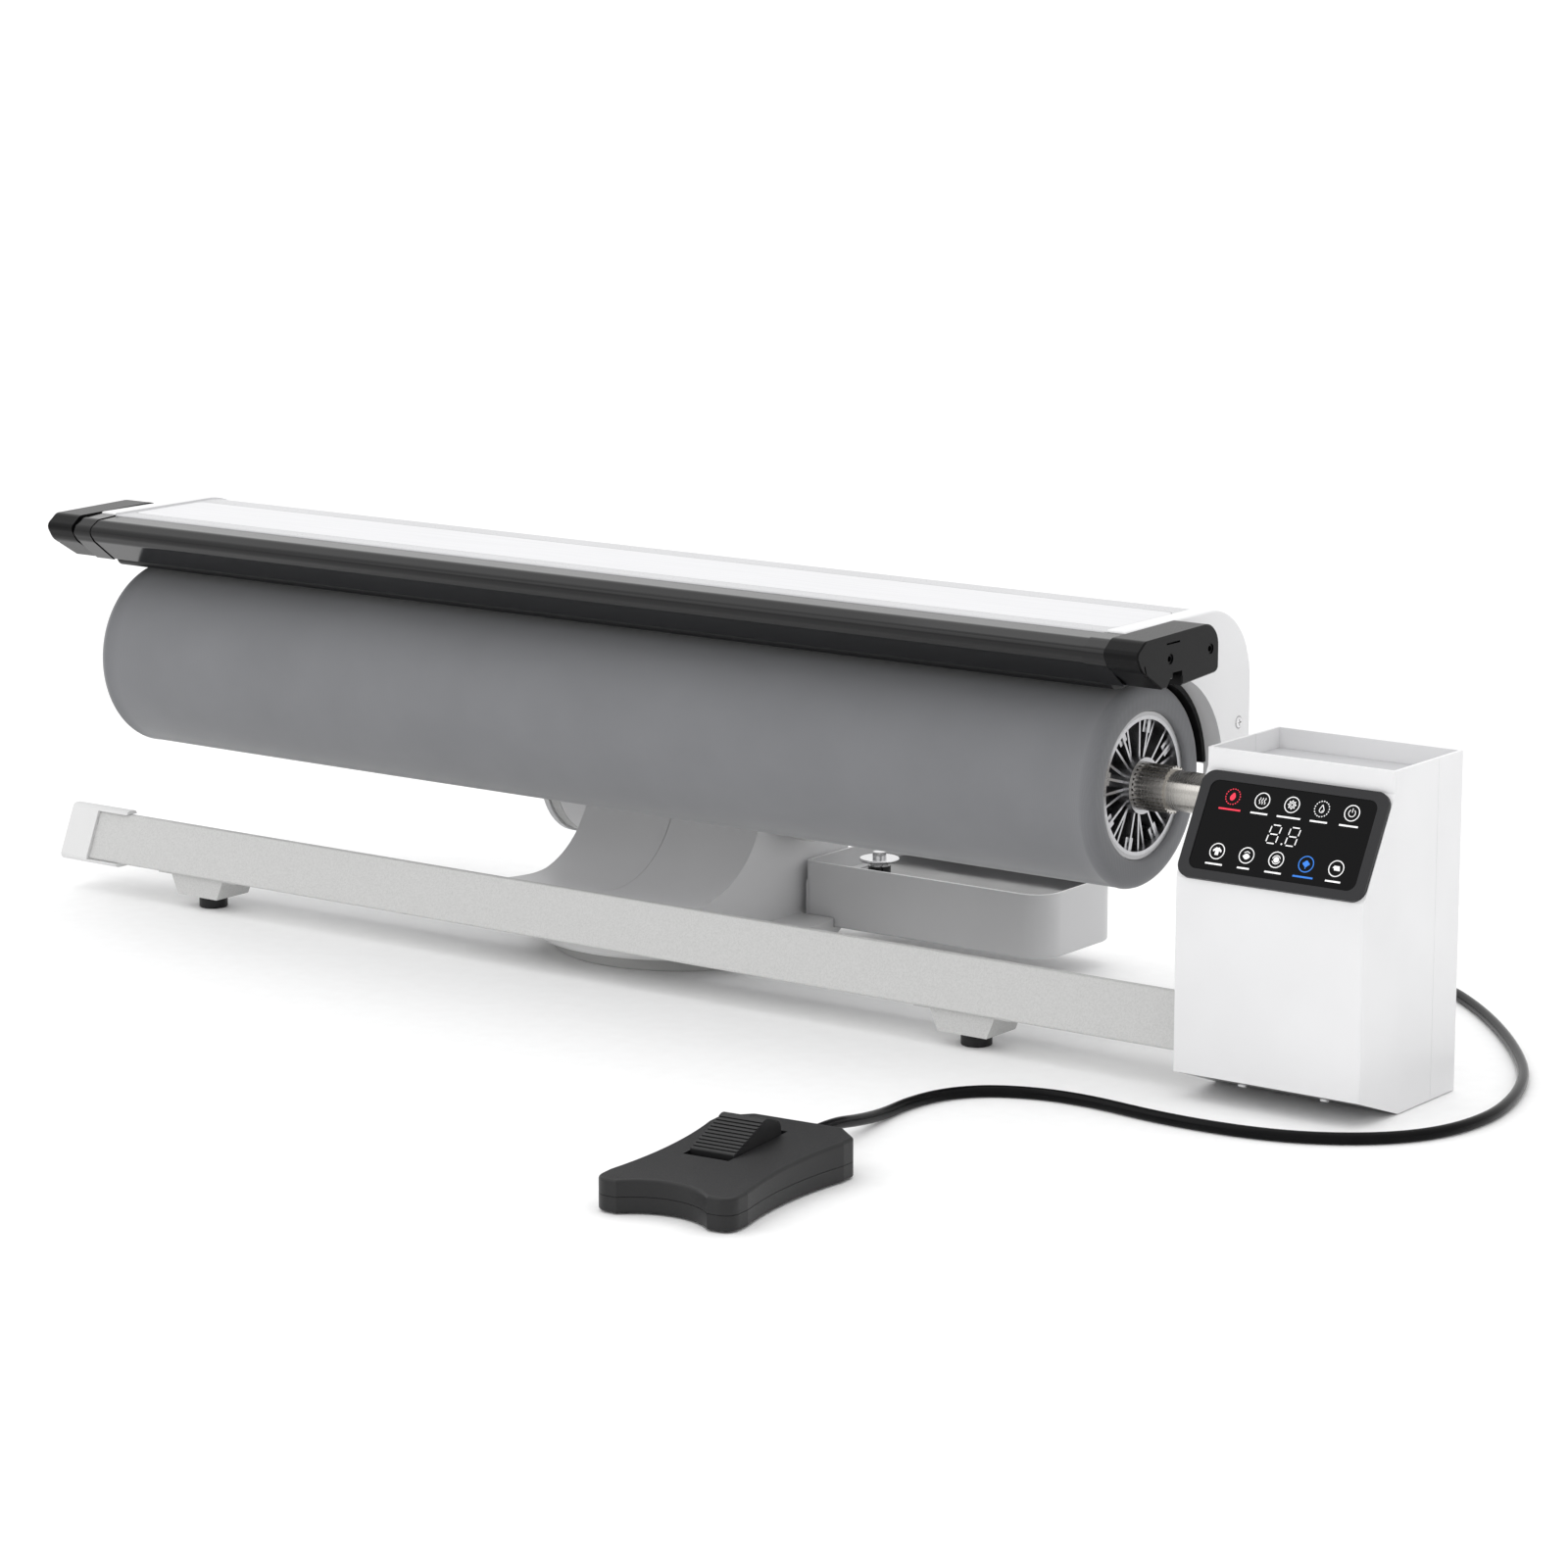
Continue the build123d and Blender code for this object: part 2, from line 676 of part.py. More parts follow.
def cover_panel():
    """Thin panel let into the top of the cover."""
    end = end_cover_start - slip_gap
    pocket_y = (cover_panel_front + cover_panel_back) / 2
    gap = 0.6
    sheet = RectangleRounded(2 * end - 6 - 2 * gap, cover_panel_back - cover_panel_front - 2 * gap, 7 - gap)
    panel = extrude(Plane.XY.offset(shoe_top - cover_panel_sheet) * Pos(0, pocket_y) * sheet,
                    amount=cover_panel_sheet)
    return panel


def end_cover():
    """White C-shaped side of the shoe, right hand."""
    top = shoe_top + end_cover_raise
    back = shoe_back + end_cover_raise
    low = roller_axis_height + plate_outer + 0.4
    arc = circle_at(plate_outer + 0.3, 0, roller_axis_height)

    def face(inset):
        front = shoe_front + inset
        return outline(
            (front, shoe_top - 19 + inset), (front, top - inset, 1.5),
            (back - inset, top - inset, shoe_corner_radius + end_cover_raise - inset),
            (back - inset, end_cover_bottom + inset, 2), (60, end_cover_bottom + inset),
            (0, roller_axis_height + 20), (0, low + inset), (-32, low + inset), (-34, low + 5 + inset),
        ) - (arc if inset == 0 else circle_at(plate_outer + 0.3 + inset, 0, roller_axis_height))

    end = end_cover_start + end_cover_width
    cup = along_x(face(0), end_cover_start, end)
    rims = cup.faces().sort_by(Axis.X)[-1].edges()
    outer_rims = rims.filter_by(lambda e: (e @ 0.5).Y > shoe_back - 60 and (e @ 0.5).Z > end_cover_bottom + 2
                                and (Vector(0, 0, roller_axis_height) - Vector(0, (e @ 0.5).Y, (e @ 0.5).Z)).length
                                > plate_outer + 5)
    cup = fillet(outer_rims, 1.6)
    cup -= along_x(face(3.0), end_cover_start - 1, end - 3.0)
    screw_y = shoe_back - 13
    screw_z = roller_axis_height + 29
    cup -= rod_x(4.2, end - 1.0, end + 1, screw_y, screw_z)
    return cup


def end_cover_screws():
    heads = []
    x = end_cover_start + end_cover_width - 1.0
    for side in (-1, 1):
        turned = Pos(side * x, shoe_back - 13, roller_axis_height + 29) * Rot(0, 90 * side, 0)
        heads.append(turned * cross_screw(3.7, 1.6))
    return heads


def fascia_profile(grow=0.0):
    """Section of the black front fascia: flat top, round nose, sloping underside."""
    rear = shoe_front - 0.6
    return outline(
        (rear + min(grow, 0), shoe_top - 0.9 + grow), (fascia_nose + 9.5, shoe_top - 1.8 + grow, 6 + grow),
        (fascia_nose - 1.5 - grow, shoe_top - 8.5, 5 + grow),
        (fascia_nose + 4.5 - grow, shoe_top - 16.8 - grow * 0.6, 7 + grow),
        (rear - 3.0, shoe_top - 32.0 - grow * 1.2, 1.0), (rear + min(grow, 0), shoe_top - 31.0 - grow * 1.2))


def fascia_cap():
    """Black moulded end cap of the fascia, right hand."""
    start = end_cover_start - 1.0 + slip_gap + sleeve_length + fascia_cap_gap
    end = start + fascia_cap_length
    nose = fascia_nose - 1.5
    top = shoe_top + 1.9
    side = outline(
        (20.5, top, 15), (nose + 9.5, top - 1.6, 7), (nose - 1.0, top - 9.5, 4.5), (nose + 5, top - 20, 12),
        (-46, shoe_top - 32.6, 2), (-40.0, shoe_top - 32.6, 1.5), (-36, shoe_top - 27.5), (-23, shoe_top - 27.5),
        (-23, shoe_top - 33.0), (20.5, shoe_top - 30.2, 4.5))
    cap = along_x(side, start, end)
    cap = chamfer(cap.faces().sort_by(Axis.X)[-1].edges(), 0.9)
    slot_depth = 2.5
    face = end - slot_depth
    for y, z in ((-37, shoe_top - 14.5), (10.5, shoe_top - 14.5)):
        cap -= rod_x(3.4, end - 0.8, end + 1, y, z)
        cap -= rod_x(1.9, face - 3, end + 1, y, z)
    cap -= block(face, end + 1, -41.5, -26, shoe_top - 5.2, shoe_top - 4.0)
    groove = circle_at(40, nose + 46, shoe_top - 3) - circle_at(38.8, nose + 46, shoe_top - 3)
    groove &= Polygon((nose - 5, shoe_top - 15), (nose - 5, shoe_top - 28), (nose + 30, shoe_top - 28.5),
                      (nose + 12, shoe_top - 15), align=None)
    cap -= along_x(groove, face, end + 1)
    cap -= along_x(outline((-34, shoe_top - 28), (-34, shoe_top - 23.5), (-23, shoe_top - 23.5),
                           (-23, shoe_top - 28)), end - 6, end + 1)
    return cap


def bulkhead(start):
    """Sheet-steel rib that ties the cover, the plate and the lift arms together."""
    wall = cover_wall + slip_gap
    low = roller_axis_height + plate_outer + 0.2
    shape = outline(
        (shoe_front + wall, shoe_top - 18), (shoe_front + wall, shoe_top - wall),
        (shoe_back - wall, shoe_top - wall, shoe_corner_radius - wall),
        (shoe_back - wall, shoe_bottom + wall), (60, shoe_bottom + wall), (0, roller_axis_height + 20),
        (0, low), (-34, low), (-36.5, low + 6))
    shape -= circle_at(plate_outer + 0.1, 0, roller_axis_height)
    for angle in element_angles:
        a = math.radians(angle)
        distance = plate_outer + element_radius + 0.1
        shape -= circle_at(element_radius + 0.2, distance * math.cos(a),
                           roller_axis_height + distance * math.sin(a))
    shape -= half_turn_ring(insulation_inner - 0.2, insulation_inner + insulation_thickness + 0.2,
                            insulation_angles[0] - 0.3, insulation_angles[1] + 0.3)
    shape -= circle_at(8.2, -18, roller_axis_height + plate_outer + 12)
    return along_x(shape, start, start + bulkhead_sheet)


def lift_arm(x, hub_radius):
    """Plate arm from the hinge up to the back of the shoe."""
    inner = shoe_back - 25.5
    outer = shoe_back - cover_wall - 1.2
    shape = outline(
        (inner, pivot_z), (inner, roller_axis_height + 48, 4), (outer, roller_axis_height + 48, 4),
        (outer, roller_axis_height - 10, 30), (pivot_y + hub_radius * 0.8, pivot_z + 4))
    shape += circle_at(hub_radius, pivot_y, pivot_z)
    arm = along_x(shape, x, x + arm_thickness)
    return arm - rod_x(pivot_radius + run_gap, x - 1, x + arm_thickness + 1, pivot_y, pivot_z)


def build_shoe():
    PARTS["pressing_plate"] = shoe_plate()
    PARTS["feed_lip"] = feed_lip()
    PARTS["shoe_cover"] = shoe_cover()
    PARTS["cover_panel"] = cover_panel()
    side = end_cover()
    PARTS["end_covers"] = Compound([side, mirrored(side)])
    PARTS["end_cover_screws"] = Compound(end_cover_screws())
    fascia_end = end_cover_start - 1.0
    fascia_hollow = fascia_profile(-fascia_wall)
    PARTS["front_fascia"] = along_x(fascia_profile() - fascia_hollow, -fascia_end, fascia_end)
    sleeve = along_x(fascia_profile(0.6) - fascia_hollow, fascia_end + slip_gap,
                     fascia_end + slip_gap + sleeve_length)
    PARTS["fascia_sleeves"] = Compound([sleeve, mirrored(sleeve)])
    cap = fascia_cap()
    PARTS["fascia_caps"] = Compound([cap, mirrored(cap)])
    rods = []
    for angle in element_angles:
        a = math.radians(angle)
        distance = plate_outer + element_radius + 0.1
        y = distance * math.cos(a)
        z = roller_axis_height + distance * math.sin(a)
        rods.append(rod_x(element_radius, -roller_end + 20, roller_end - 20, y, z))
    PARTS["heating_elements"] = Compound(rods)
    PARTS["steam_manifold"] = tube_x(8.0, 6.5, -roller_end + 30, roller_end - 30, -18,
                                     roller_axis_height + plate_outer + 12)
    blanket = half_turn_ring(insulation_inner, insulation_inner + insulation_thickness, *insulation_angles)
    PARTS["insulation_blanket"] = along_x(blanket, -roller_end + 12, roller_end - 12)
    ribs = [bulkhead(x) for x in (-330, arm_left_x + arm_thickness + 0.1,
                                  arm_right_x + arm_thickness + 0.1, 330)]
    PARTS["shoe_bulkheads"] = Compound(ribs)
    PARTS["lift_arms"] = Compound([
        lift_arm(arm_left_x, hinge_disc_radius - 1.5), lift_arm(arm_right_x, 29.0)])
    PARTS["pivot_shaft"] = rod_x(pivot_radius, arm_left_x - 0.5, arm_right_x + arm_thickness + 3,
                                 pivot_y, pivot_z)
    cap_x = arm_left_x - 5.0
    cap = rod_x(hinge_disc_radius, cap_x, arm_left_x - 0.6, pivot_y, pivot_z)
    cap -= rod_x(hinge_disc_radius - 7, cap_x - 1, cap_x + 1.8, pivot_y, pivot_z)
    PARTS["hinge_cap"] = cap


# ---- pedestal -------------------------------------------------------------------------

def base_oval(inset):
    """Plan outline of the base, or the same pulled in."""
    middle = (base_front + base_back) / 2
    return Pos(0, middle) * Ellipse(base_half_width - inset, (base_back - base_front) / 2 - inset)


def base_plate():
    oval = extrude(Plane.XY.offset(base_bottom) * base_oval(0), amount=base_top - base_bottom)
    oval = fillet(oval.edges().sort_by(Axis.Z)[0], 3)
    notch = block(tray_left - 1, tray_left + tray_length, tray_front - 1, base_back + 20,
                  tray_bottom, base_top + 5)
    return oval - notch


def fairing_solid(inset):
    """Pedestal cover: plan outline with flared feet, cut by the concave side profile."""
    half = pedestal_half_width - inset
    foot = half + pedestal_flare
    y_foot = -46.0
    y_straight = 14.0
    mid = (half + 2.2, y_straight - 22)
    right = [Line((half, y_straight), (half, base_back)), Line((half, base_back), (-half, base_back))]
    left = [Line((-half, base_back), (-half, y_straight))]
    flare_left = ThreePointArc((-half, y_straight), (-mid[0] - 2.2, mid[1]), (-foot, y_foot))
    flare_right = ThreePointArc((foot, y_foot), (mid[0] + 2.2, mid[1]), (half, y_straight))
    front = Line((-foot, y_foot), (foot, y_foot))
    plan = make_face([flare_right, *right, *left, flare_left, front])
    tall = extrude(Plane.XY.offset(base_top) * plan, amount=pedestal_top)
    foot_top = bar_bottom_height + 26.4 - inset
    front_low = bar_back_at(base_top) + 0.4 + inset
    front_high = bar_back_at(foot_top) + 0.4 + inset
    lower = base_top - (5 if inset else 0)
    arc_y, arc_z = -2.2 , foot_top + pedestal_front_radius + inset
    radius = pedestal_front_radius + inset
    side_line = [
        Line((front_low, lower), (front_high, foot_top)),
        Line((front_high, foot_top), (arc_y, foot_top)),
        ThreePointArc((arc_y, foot_top),
                      (arc_y + radius * math.sin(math.pi / 4), arc_z - radius * math.cos(math.pi / 4)),
                      (arc_y + radius, arc_z)),
    ]
    side = make_face([
        *side_line,
        *FilletPolyline(
            (arc_y + radius, arc_z), (arc_y + radius + 5, pedestal_top - inset),
            (pedestal_back - inset, pedestal_top - inset), (pedestal_back + 22 - inset, base_top + 12),
            (pedestal_back + 24 - inset, lower), (front_low, lower),
            radius=[12, 30, 10, 0.01]).edges(),
    ])
    return tall & along_x(side, -200, 200)


def fairing_halves():
    shell = fairing_solid(0) - fairing_solid(pedestal_wall)
    shell -= rod_x(pivot_radius + 12, -120, 120, pivot_y, pivot_z)
    shell -= block(tray_left - 10, tray_left + 60, tray_front - 1, base_back + 5, base_bottom, tray_top + 2) \
        & block(pedestal_half_width + 1, 300, 0, 300, 0, 300)
    half = pedestal_seam / 2
    left = shell & block(-200, -half, -100, 260, 0, 260)
    right = shell & block(half, 200, -100, 260, 0, 260)
    return left, right


def pedestal_column():
    """Two steel cheeks on a foot plate, joined by a rear web, that carry the hinge shaft."""
    cheek = outline((82, base_top), (82, pivot_z + 14, 12), (131, pivot_z + 14, 12), (131, base_top))
    cheek -= circle_at(14 + run_gap, pivot_y, pivot_z)
    column = None
    for x in (-column_half_width, column_half_width - column_sheet):
        plate = along_x(cheek, x, x + column_sheet)
        column = plate if column is None else column + plate
    column += block(-column_half_width, column_half_width, 131, 131 + column_sheet, base_top, pivot_z - 12)
    column += block(-column_half_width, column_half_width, 60, 131 + column_sheet, base_top, base_top + 5)
    return column


def pivot_bushes():
    """Flanged bronze bushes in the cheeks."""
    bushes = []
    for side in (-1, 1):
        outer = side * (column_half_width + 2)
        inner = side * (column_half_width - column_sheet)
        low, high = min(outer, inner), max(outer, inner)
        bush = tube_x(14, pivot_radius + run_gap, low, high, pivot_y, pivot_z)
        flange_in = side * column_half_width
        low, high = min(outer, flange_in), max(outer, flange_in)
        bush += tube_x(18, pivot_radius + run_gap, low, high, pivot_y, pivot_z)
        bushes.append(bush)
    return Compound(bushes)


def lift_gearmotor():
    """Gearbox with a hollow output on the hinge shaft, its motor standing below."""
    box = block(-28, 28, 84, 130.9, pivot_z - 26, pivot_z + 22)
    box = fillet(box.edges().filter_by(Axis.X), 5)
    box -= rod_x(pivot_radius + 2 * run_gap, -30, 30, pivot_y, pivot_z)
    return box + post(19, 0, pivot_y, base_top + 12, pivot_z - 26)


def build_pedestal():
    PARTS["base_plate"] = base_plate()
    pad = extrude(base_oval(pad_inset), amount=base_bottom)
    PARTS["base_pad"] = fillet(pad.edges().sort_by(Axis.Z)[0], 1.2)
    left, right = fairing_halves()
    PARTS["pedestal_fairing_left"] = left
    PARTS["pedestal_fairing_right"] = right
    PARTS["pedestal_column"] = pedestal_column()
    PARTS["pivot_bushes"] = pivot_bushes()
    PARTS["lift_gearmotor"] = lift_gearmotor()
    barrel_end = arm_left_x + arm_thickness + moving_gap
    barrel = tube_x(hinge_disc_radius - 1.5, hinge_disc_radius - 5, barrel_end, -pedestal_half_width - 0.1,
                    pivot_y, pivot_z)
    barrel += tube_x(hinge_disc_radius - 4, pivot_radius + 3, -pedestal_half_width - 4,
                     -pedestal_half_width - 0.1, pivot_y, pivot_z)
    barrel_right = tube_x(26, pivot_radius + 3, pedestal_half_width + 0.1, arm_right_x - moving_gap,
                          pivot_y, pivot_z)
    PARTS["hinge_barrels"] = Compound([barrel, barrel_right])


# ---- water tank -----------------------------------------------------------------------

def tray_outline(left, inset, radius_right, radius_left):
    """Plan outline of the tray, or of the tank in it."""
    x0 = left + inset
    x1 = tray_left + tray_length - inset
    y0 = tray_front + inset
    y1 = tray_back - inset
    return outline((x0, y0, radius_left), (x1, y0, radius_right), (x1, y1, radius_right), (x0, y1, radius_left))


def tank_tray():
    body = extrude(Plane.XY.offset(tray_bottom) * tray_outline(tray_left, 0, tray_corner, 6),
                   amount=tray_top - tray_bottom)
    body = fillet(body.edges().group_by(Axis.Z)[0], 2.0)
    hollow = extrude(
        Plane.XY.offset(tray_bottom + 3) * tray_outline(tray_left, tray_wall, tray_corner - tray_wall, 4),
        amount=80)
    body -= hollow
    step_end = tank_start - moving_gap
    body += block(tray_left + 1, step_end, tray_front + 1, tray_back - 1, tray_bottom + 1, tray_top - 14)
    return body


def water_tank():
    inset = tray_wall + tank_gap
    left = tank_start - inset
    low = tray_bottom + 3
    outer = tray_outline(left, inset, tray_corner - inset, 5)
    tank = extrude(Plane.XY.offset(low) * outer, amount=tank_top - 3 - low)
    inner = tray_outline(left, inset + tank_wall, tray_corner - inset - tank_wall, 3)
    tank -= extrude(Plane.XY.offset(low + tank_wall) * inner, amount=80)
    return tank


def tank_lid():
    inset = tray_wall + tank_gap
    left = tank_start - inset
    lid = extrude(Plane.XY.offset(tank_top - 3) * tray_outline(left, inset, tray_corner - inset, 5), amount=3)
    lid = fillet(lid.edges().group_by(Axis.Z)[-1], 1.0)
    lid += post(8, tank_cap_x, tank_cap_y, tank_top - 1, tank_top + tank_neck)
    return lid - post(4.6, tank_cap_x, tank_cap_y, tank_top - 9, tank_top + 9)


def tank_cap():
    """Filler cap: a thin disc with a finger stud above and a plug below."""
    top = tank_top + tank_neck
    cap = post(14.0, tank_cap_x, tank_cap_y, top + 3.2, top + 5.4)
    cap = fillet(cap.edges(), 0.9)
    cap += post(4.5, tank_cap_x, tank_cap_y, tank_top - 5, top + 4)
    cap += post(6.2, tank_cap_x, tank_cap_y, top, top + 3.4)
    cap += post(4.4, tank_cap_x, tank_cap_y, top + 5, top + 9.6)
    for i in range(12):
        rib = Pos(tank_cap_x, tank_cap_y, 0) * Rot(0, 0, 30 * i) * block(4.2, 4.8, -0.5, 0.5, top + 5, top + 9)
        cap += rib
    return cap


def build_tank():
    PARTS["tank_tray"] = tank_tray()
    PARTS["water_tank"] = water_tank()
    PARTS["tank_lid"] = tank_lid()
    PARTS["tank_cap"] = tank_cap()


# ---- foot switch ----------------------------------------------------------------------

def pedal_outline(inset):
    """Hourglass plan of the foot switch, with a hollowed front edge."""
    waist = 5.0 + inset
    notch = 12.0
    middle_x = (pedal_left + pedal_right) / 2
    left, right = pedal_left + inset, pedal_right - inset
    front, back = pedal_front + inset, pedal_back - inset
    middle_y = (pedal_front + pedal_back) / 2 + 6
    face = make_face([
        Line((left, front), (left + 16, front)),
        ThreePointArc((left + 16, front), (middle_x, front + notch), (right - 16, front)),
        Line((right - 16, front), (right, front)),
        Line((right, front), (right, front + 18)),
        ThreePointArc((right, front + 18), (pedal_right - waist, middle_y), (right, back - 26)),
        Line((right, back - 26), (right, back - 14)),
        Line((right, back - 14), (right - 16, back)),
        Line((right - 16, back), (left + 16, back)),
        Line((left + 16, back), (left, back - 14)),
        Line((left, back - 14), (left, back - 26)),
        ThreePointArc((left, back - 26), (pedal_left + waist, middle_y), (left, front + 18)),
        Line((left, front + 18), (left, front)),
    ])
    corners = face.vertices().filter_by(lambda v: v.Y < front + 1 and (v.X < left + 1 or v.X > right - 1))
    face = fillet(corners, 9.0 - inset * 0.5)
    backs = face.vertices().filter_by(lambda v: v.Y > back - 15)
    return fillet(backs, 6.0)


def pedal_top_at(y):
    """Height of the sloping top face."""
    return pedal_front_height + (y - pedal_front) / pedal_length * (pedal_back_height - pedal_front_height)


def above_pedal_top(lower=0.0):
    """Everything over the sloping top face, or over a face that lies lower."""
    start, end = pedal_front - 20, pedal_back + 20
    side = outline((start, pedal_top_at(start) - lower), (end, pedal_top_at(end) - lower),
                   (end, pedal_back_height + 40), (start, pedal_back_height + 40))
    return along_x(side, pedal_left - 20, pedal_right + 20)


def turned(shape):
    """The foot switch stands a few degrees askew to the press."""
    return Pos(pedal_x, pedal_y, 0) * Rot(0, 0, pedal_turn) * Pos(-pedal_x, -pedal_y, 0) * shape


def rocker_slot(gap):
    half = rocker_width / 2 + gap
    return rocker_x - half, rocker_x + half, rocker_front - 9, rocker_back + 7


def pedal_shells():
    outer = pedal_outline(0)
    inner = pedal_outline(pedal_wall)
    low = pedal_pad
    bottom = extrude(Plane.XY.offset(low) * outer, amount=pedal_split - low - 0.15)
    bottom = fillet(bottom.edges().group_by(Axis.Z)[0], 1.2)
    bottom -= extrude(Plane.XY.offset(low + pedal_wall) * inner, amount=40)
    top = extrude(Plane.XY.offset(pedal_split + 0.15) * outer, amount=pedal_back_height) - above_pedal_top()
    top = fillet(top.faces().sort_by(Axis.Z)[-1].edges(), 2.0)
    top -= extrude(inner, amount=pedal_back_height) - above_pedal_top(pedal_wall)
    x0, x1, y0, y1 = rocker_slot(moving_gap)
    top -= block(x0, x1, y0, y1, pedal_split, pedal_back_height + 5)
    exit_hole = rod_y(pedal_x, pedal_exit_height, 5.2, pedal_back - 6, pedal_back + 3)
    for side in (-1, 1):
        ear_x = rocker_x + side * (rocker_width / 2 + 3.5)
        ear = block(ear_x - 1.6, ear_x + 1.6, rocker_front - 5, rocker_front + 9, low + pedal_wall - 0.5,
                    pedal_split + 3.4)
        bottom += ear
    for x in (pedal_left + 17, pedal_right - 17):
        for y in (pedal_front + 22, pedal_back - 22):
            bottom += post(7, x, y, 0, low + 0.5)
    pin_hole = rod_x(2.0, pedal_left + 8, pedal_right - 8, rocker_front + 2, pedal_split - 1)
    return bottom - exit_hole - pin_hole, top - exit_hole


def pedal_rocker():
    """Wedge-shaped tread, low at the front, with cross ribs."""
    front_top = pedal_top_at(rocker_front) + 1.6
    crest_y = rocker_back - 16
    crest = pedal_top_at(crest_y) + rocker_rise
    low = pedal_split - 4.6
    side = outline(
        (rocker_front - 2, low), (rocker_front - 2, front_top, 1.2), (crest_y, crest, 7),
        (rocker_back, crest - 5.5, 6), (rocker_back + 2, pedal_split + 1), (rocker_front + 8, low))
    tread = along_x(side, rocker_x - rocker_width / 2, rocker_x + rocker_width / 2)
    run = crest_y - 2 - rocker_front
    slope = math.atan2(crest - front_top, run + 4)
    for i in range(rocker_rib_count):
        share = (i + 0.7) / rocker_rib_count
        y = rocker_front - 2 + share * run
        z = front_top + share * run * math.tan(slope)
        groove = Box(rocker_width + 2, 1.5, 1.6)
        tread -= Pos(rocker_x, y, z + 0.25) * Rot(math.degrees(slope), 0, 0) * groove
    return tread - rod_x(2.0 + run_gap, pedal_left, pedal_right, rocker_front + 2, pedal_split - 1)


def build_pedal():
    bottom, top = pedal_shells()
    PARTS["pedal_case_bottom"] = turned(bottom)
    PARTS["pedal_case_top"] = turned(top)
    PARTS["pedal_rocker"] = turned(pedal_rocker())
    pin_reach = rocker_width / 2 + 5.1
    pin = rod_x(1.95, rocker_x - pin_reach, rocker_x + pin_reach, rocker_front + 2, pedal_split - 1)
    PARTS["rocker_pin"] = turned(pin)
    floor = pedal_pad + pedal_wall
    switch_y = rocker_back - 16
    switch = block(rocker_x - 10, rocker_x + 10, switch_y - 4, switch_y + 6, floor, floor + 3.4)
    switch += post(1.6, rocker_x, switch_y + 1, floor + 3, floor + 4.0)
    PARTS["pedal_microswitch"] = turned(switch)
    coil = Helix(pitch=0.95, height=1.6, radius=3.6, center=(rocker_x, rocker_front + 22, floor + 0.5))
    wire = sweep(Plane(origin=coil @ 0, z_dir=coil % 0) * Circle(0.4), path=coil)
    PARTS["pedal_spring"] = turned(wire)
    relief = cone_y(pedal_x, pedal_exit_height, 5.6, 4.6, pedal_back, pedal_back + relief_length)
    relief += rod_y(pedal_x, pedal_exit_height, 5.1, pedal_back - 5, pedal_back)
    for i in range(3):
        y = pedal_back + 4 + 4.2 * i
        relief -= rod_y(pedal_x, pedal_exit_height, 6, y, y + 1.4) \
            - rod_y(pedal_x, pedal_exit_height, 4.5, y - 1, y + 3)
    PARTS["pedal_strain_relief"] = turned(relief)


# ---- foot switch cord -----------------------------------------------------------------

floor_line = cord_diameter / 2
cord_route = [
    (398.76, -312.36, 14.0),
    (397.02, -292.44, 14.0),
    (393.5, -262.0, 8.5),
    (387.5, -228.0, floor_line),
    (384.5, -196.0, floor_line),
    (391.0, -163.0, floor_line),
    (414.0, -138.0, floor_line),
    (461.0, -125.0, floor_line),
    (535.0, -135.5, floor_line),
    (604.0, -129.0, floor_line),
    (652.0, -103.0, floor_line),
    (680.0, -66.0, floor_line),
    (688.0, -18.0, floor_line),
    (680.0, 30.0, floor_line),
    (660.0, 84.0, floor_line),
    (628.0, 134.0, floor_line),
    (588.0, 184.0, floor_line),
    (549.0, 225.0, floor_line),
    (508.0, 260.0, floor_line),
    (462.0, 269.0, floor_line),
    (428.0, 240.0, floor_line),
    (431.0, 195.0, floor_line),
    (465.0, 163.0, floor_line),
    (501.0, 139.0, floor_line),
    (524.0, 112.0, 8.0),
    (527.5, 87.0, 16.0),
    (527.5, 64.4, 16.0),
]


def pedal_cord():
    """Cord tube: straight runs joined by the largest arcs that they allow."""
    points = [Vector(*p) for p in cord_route]
    radii = []
    for before, here, after in zip(points, points[1:], points[2:]):
        turn = math.radians((here - before).get_angle(after - here))
        shorter = min((here - before).length, (after - here).length)
        radii.append(0.45 * shorter / math.tan(turn / 2))
    path = FilletPolyline(*points, radius=radii)
    tube = sweep(Plane(origin=path @ 0, z_dir=path % 0) * Circle(cord_diameter / 2), path=path)
    section = math.pi * (cord_diameter / 2) ** 2
    print("cord radii", [round(r, 1) for r in radii])
    print("cord length", round(path.length, 1), "volume ratio", round(tube.volume / (section * path.length), 4))
    return tube


build_roller()
build_bar()
build_housing()
build_shoe()
build_pedestal()
build_tank()
build_pedal()
PARTS["pedal_cord"] = pedal_cord()

os.makedirs("parts", exist_ok=True)
for name, solid in PARTS.items():
    export_step(solid, f"parts/{name}.step")
print(len(PARTS), "nodes")
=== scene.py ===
import bmesh
import bpy
import math
from mathutils import Matrix, Vector


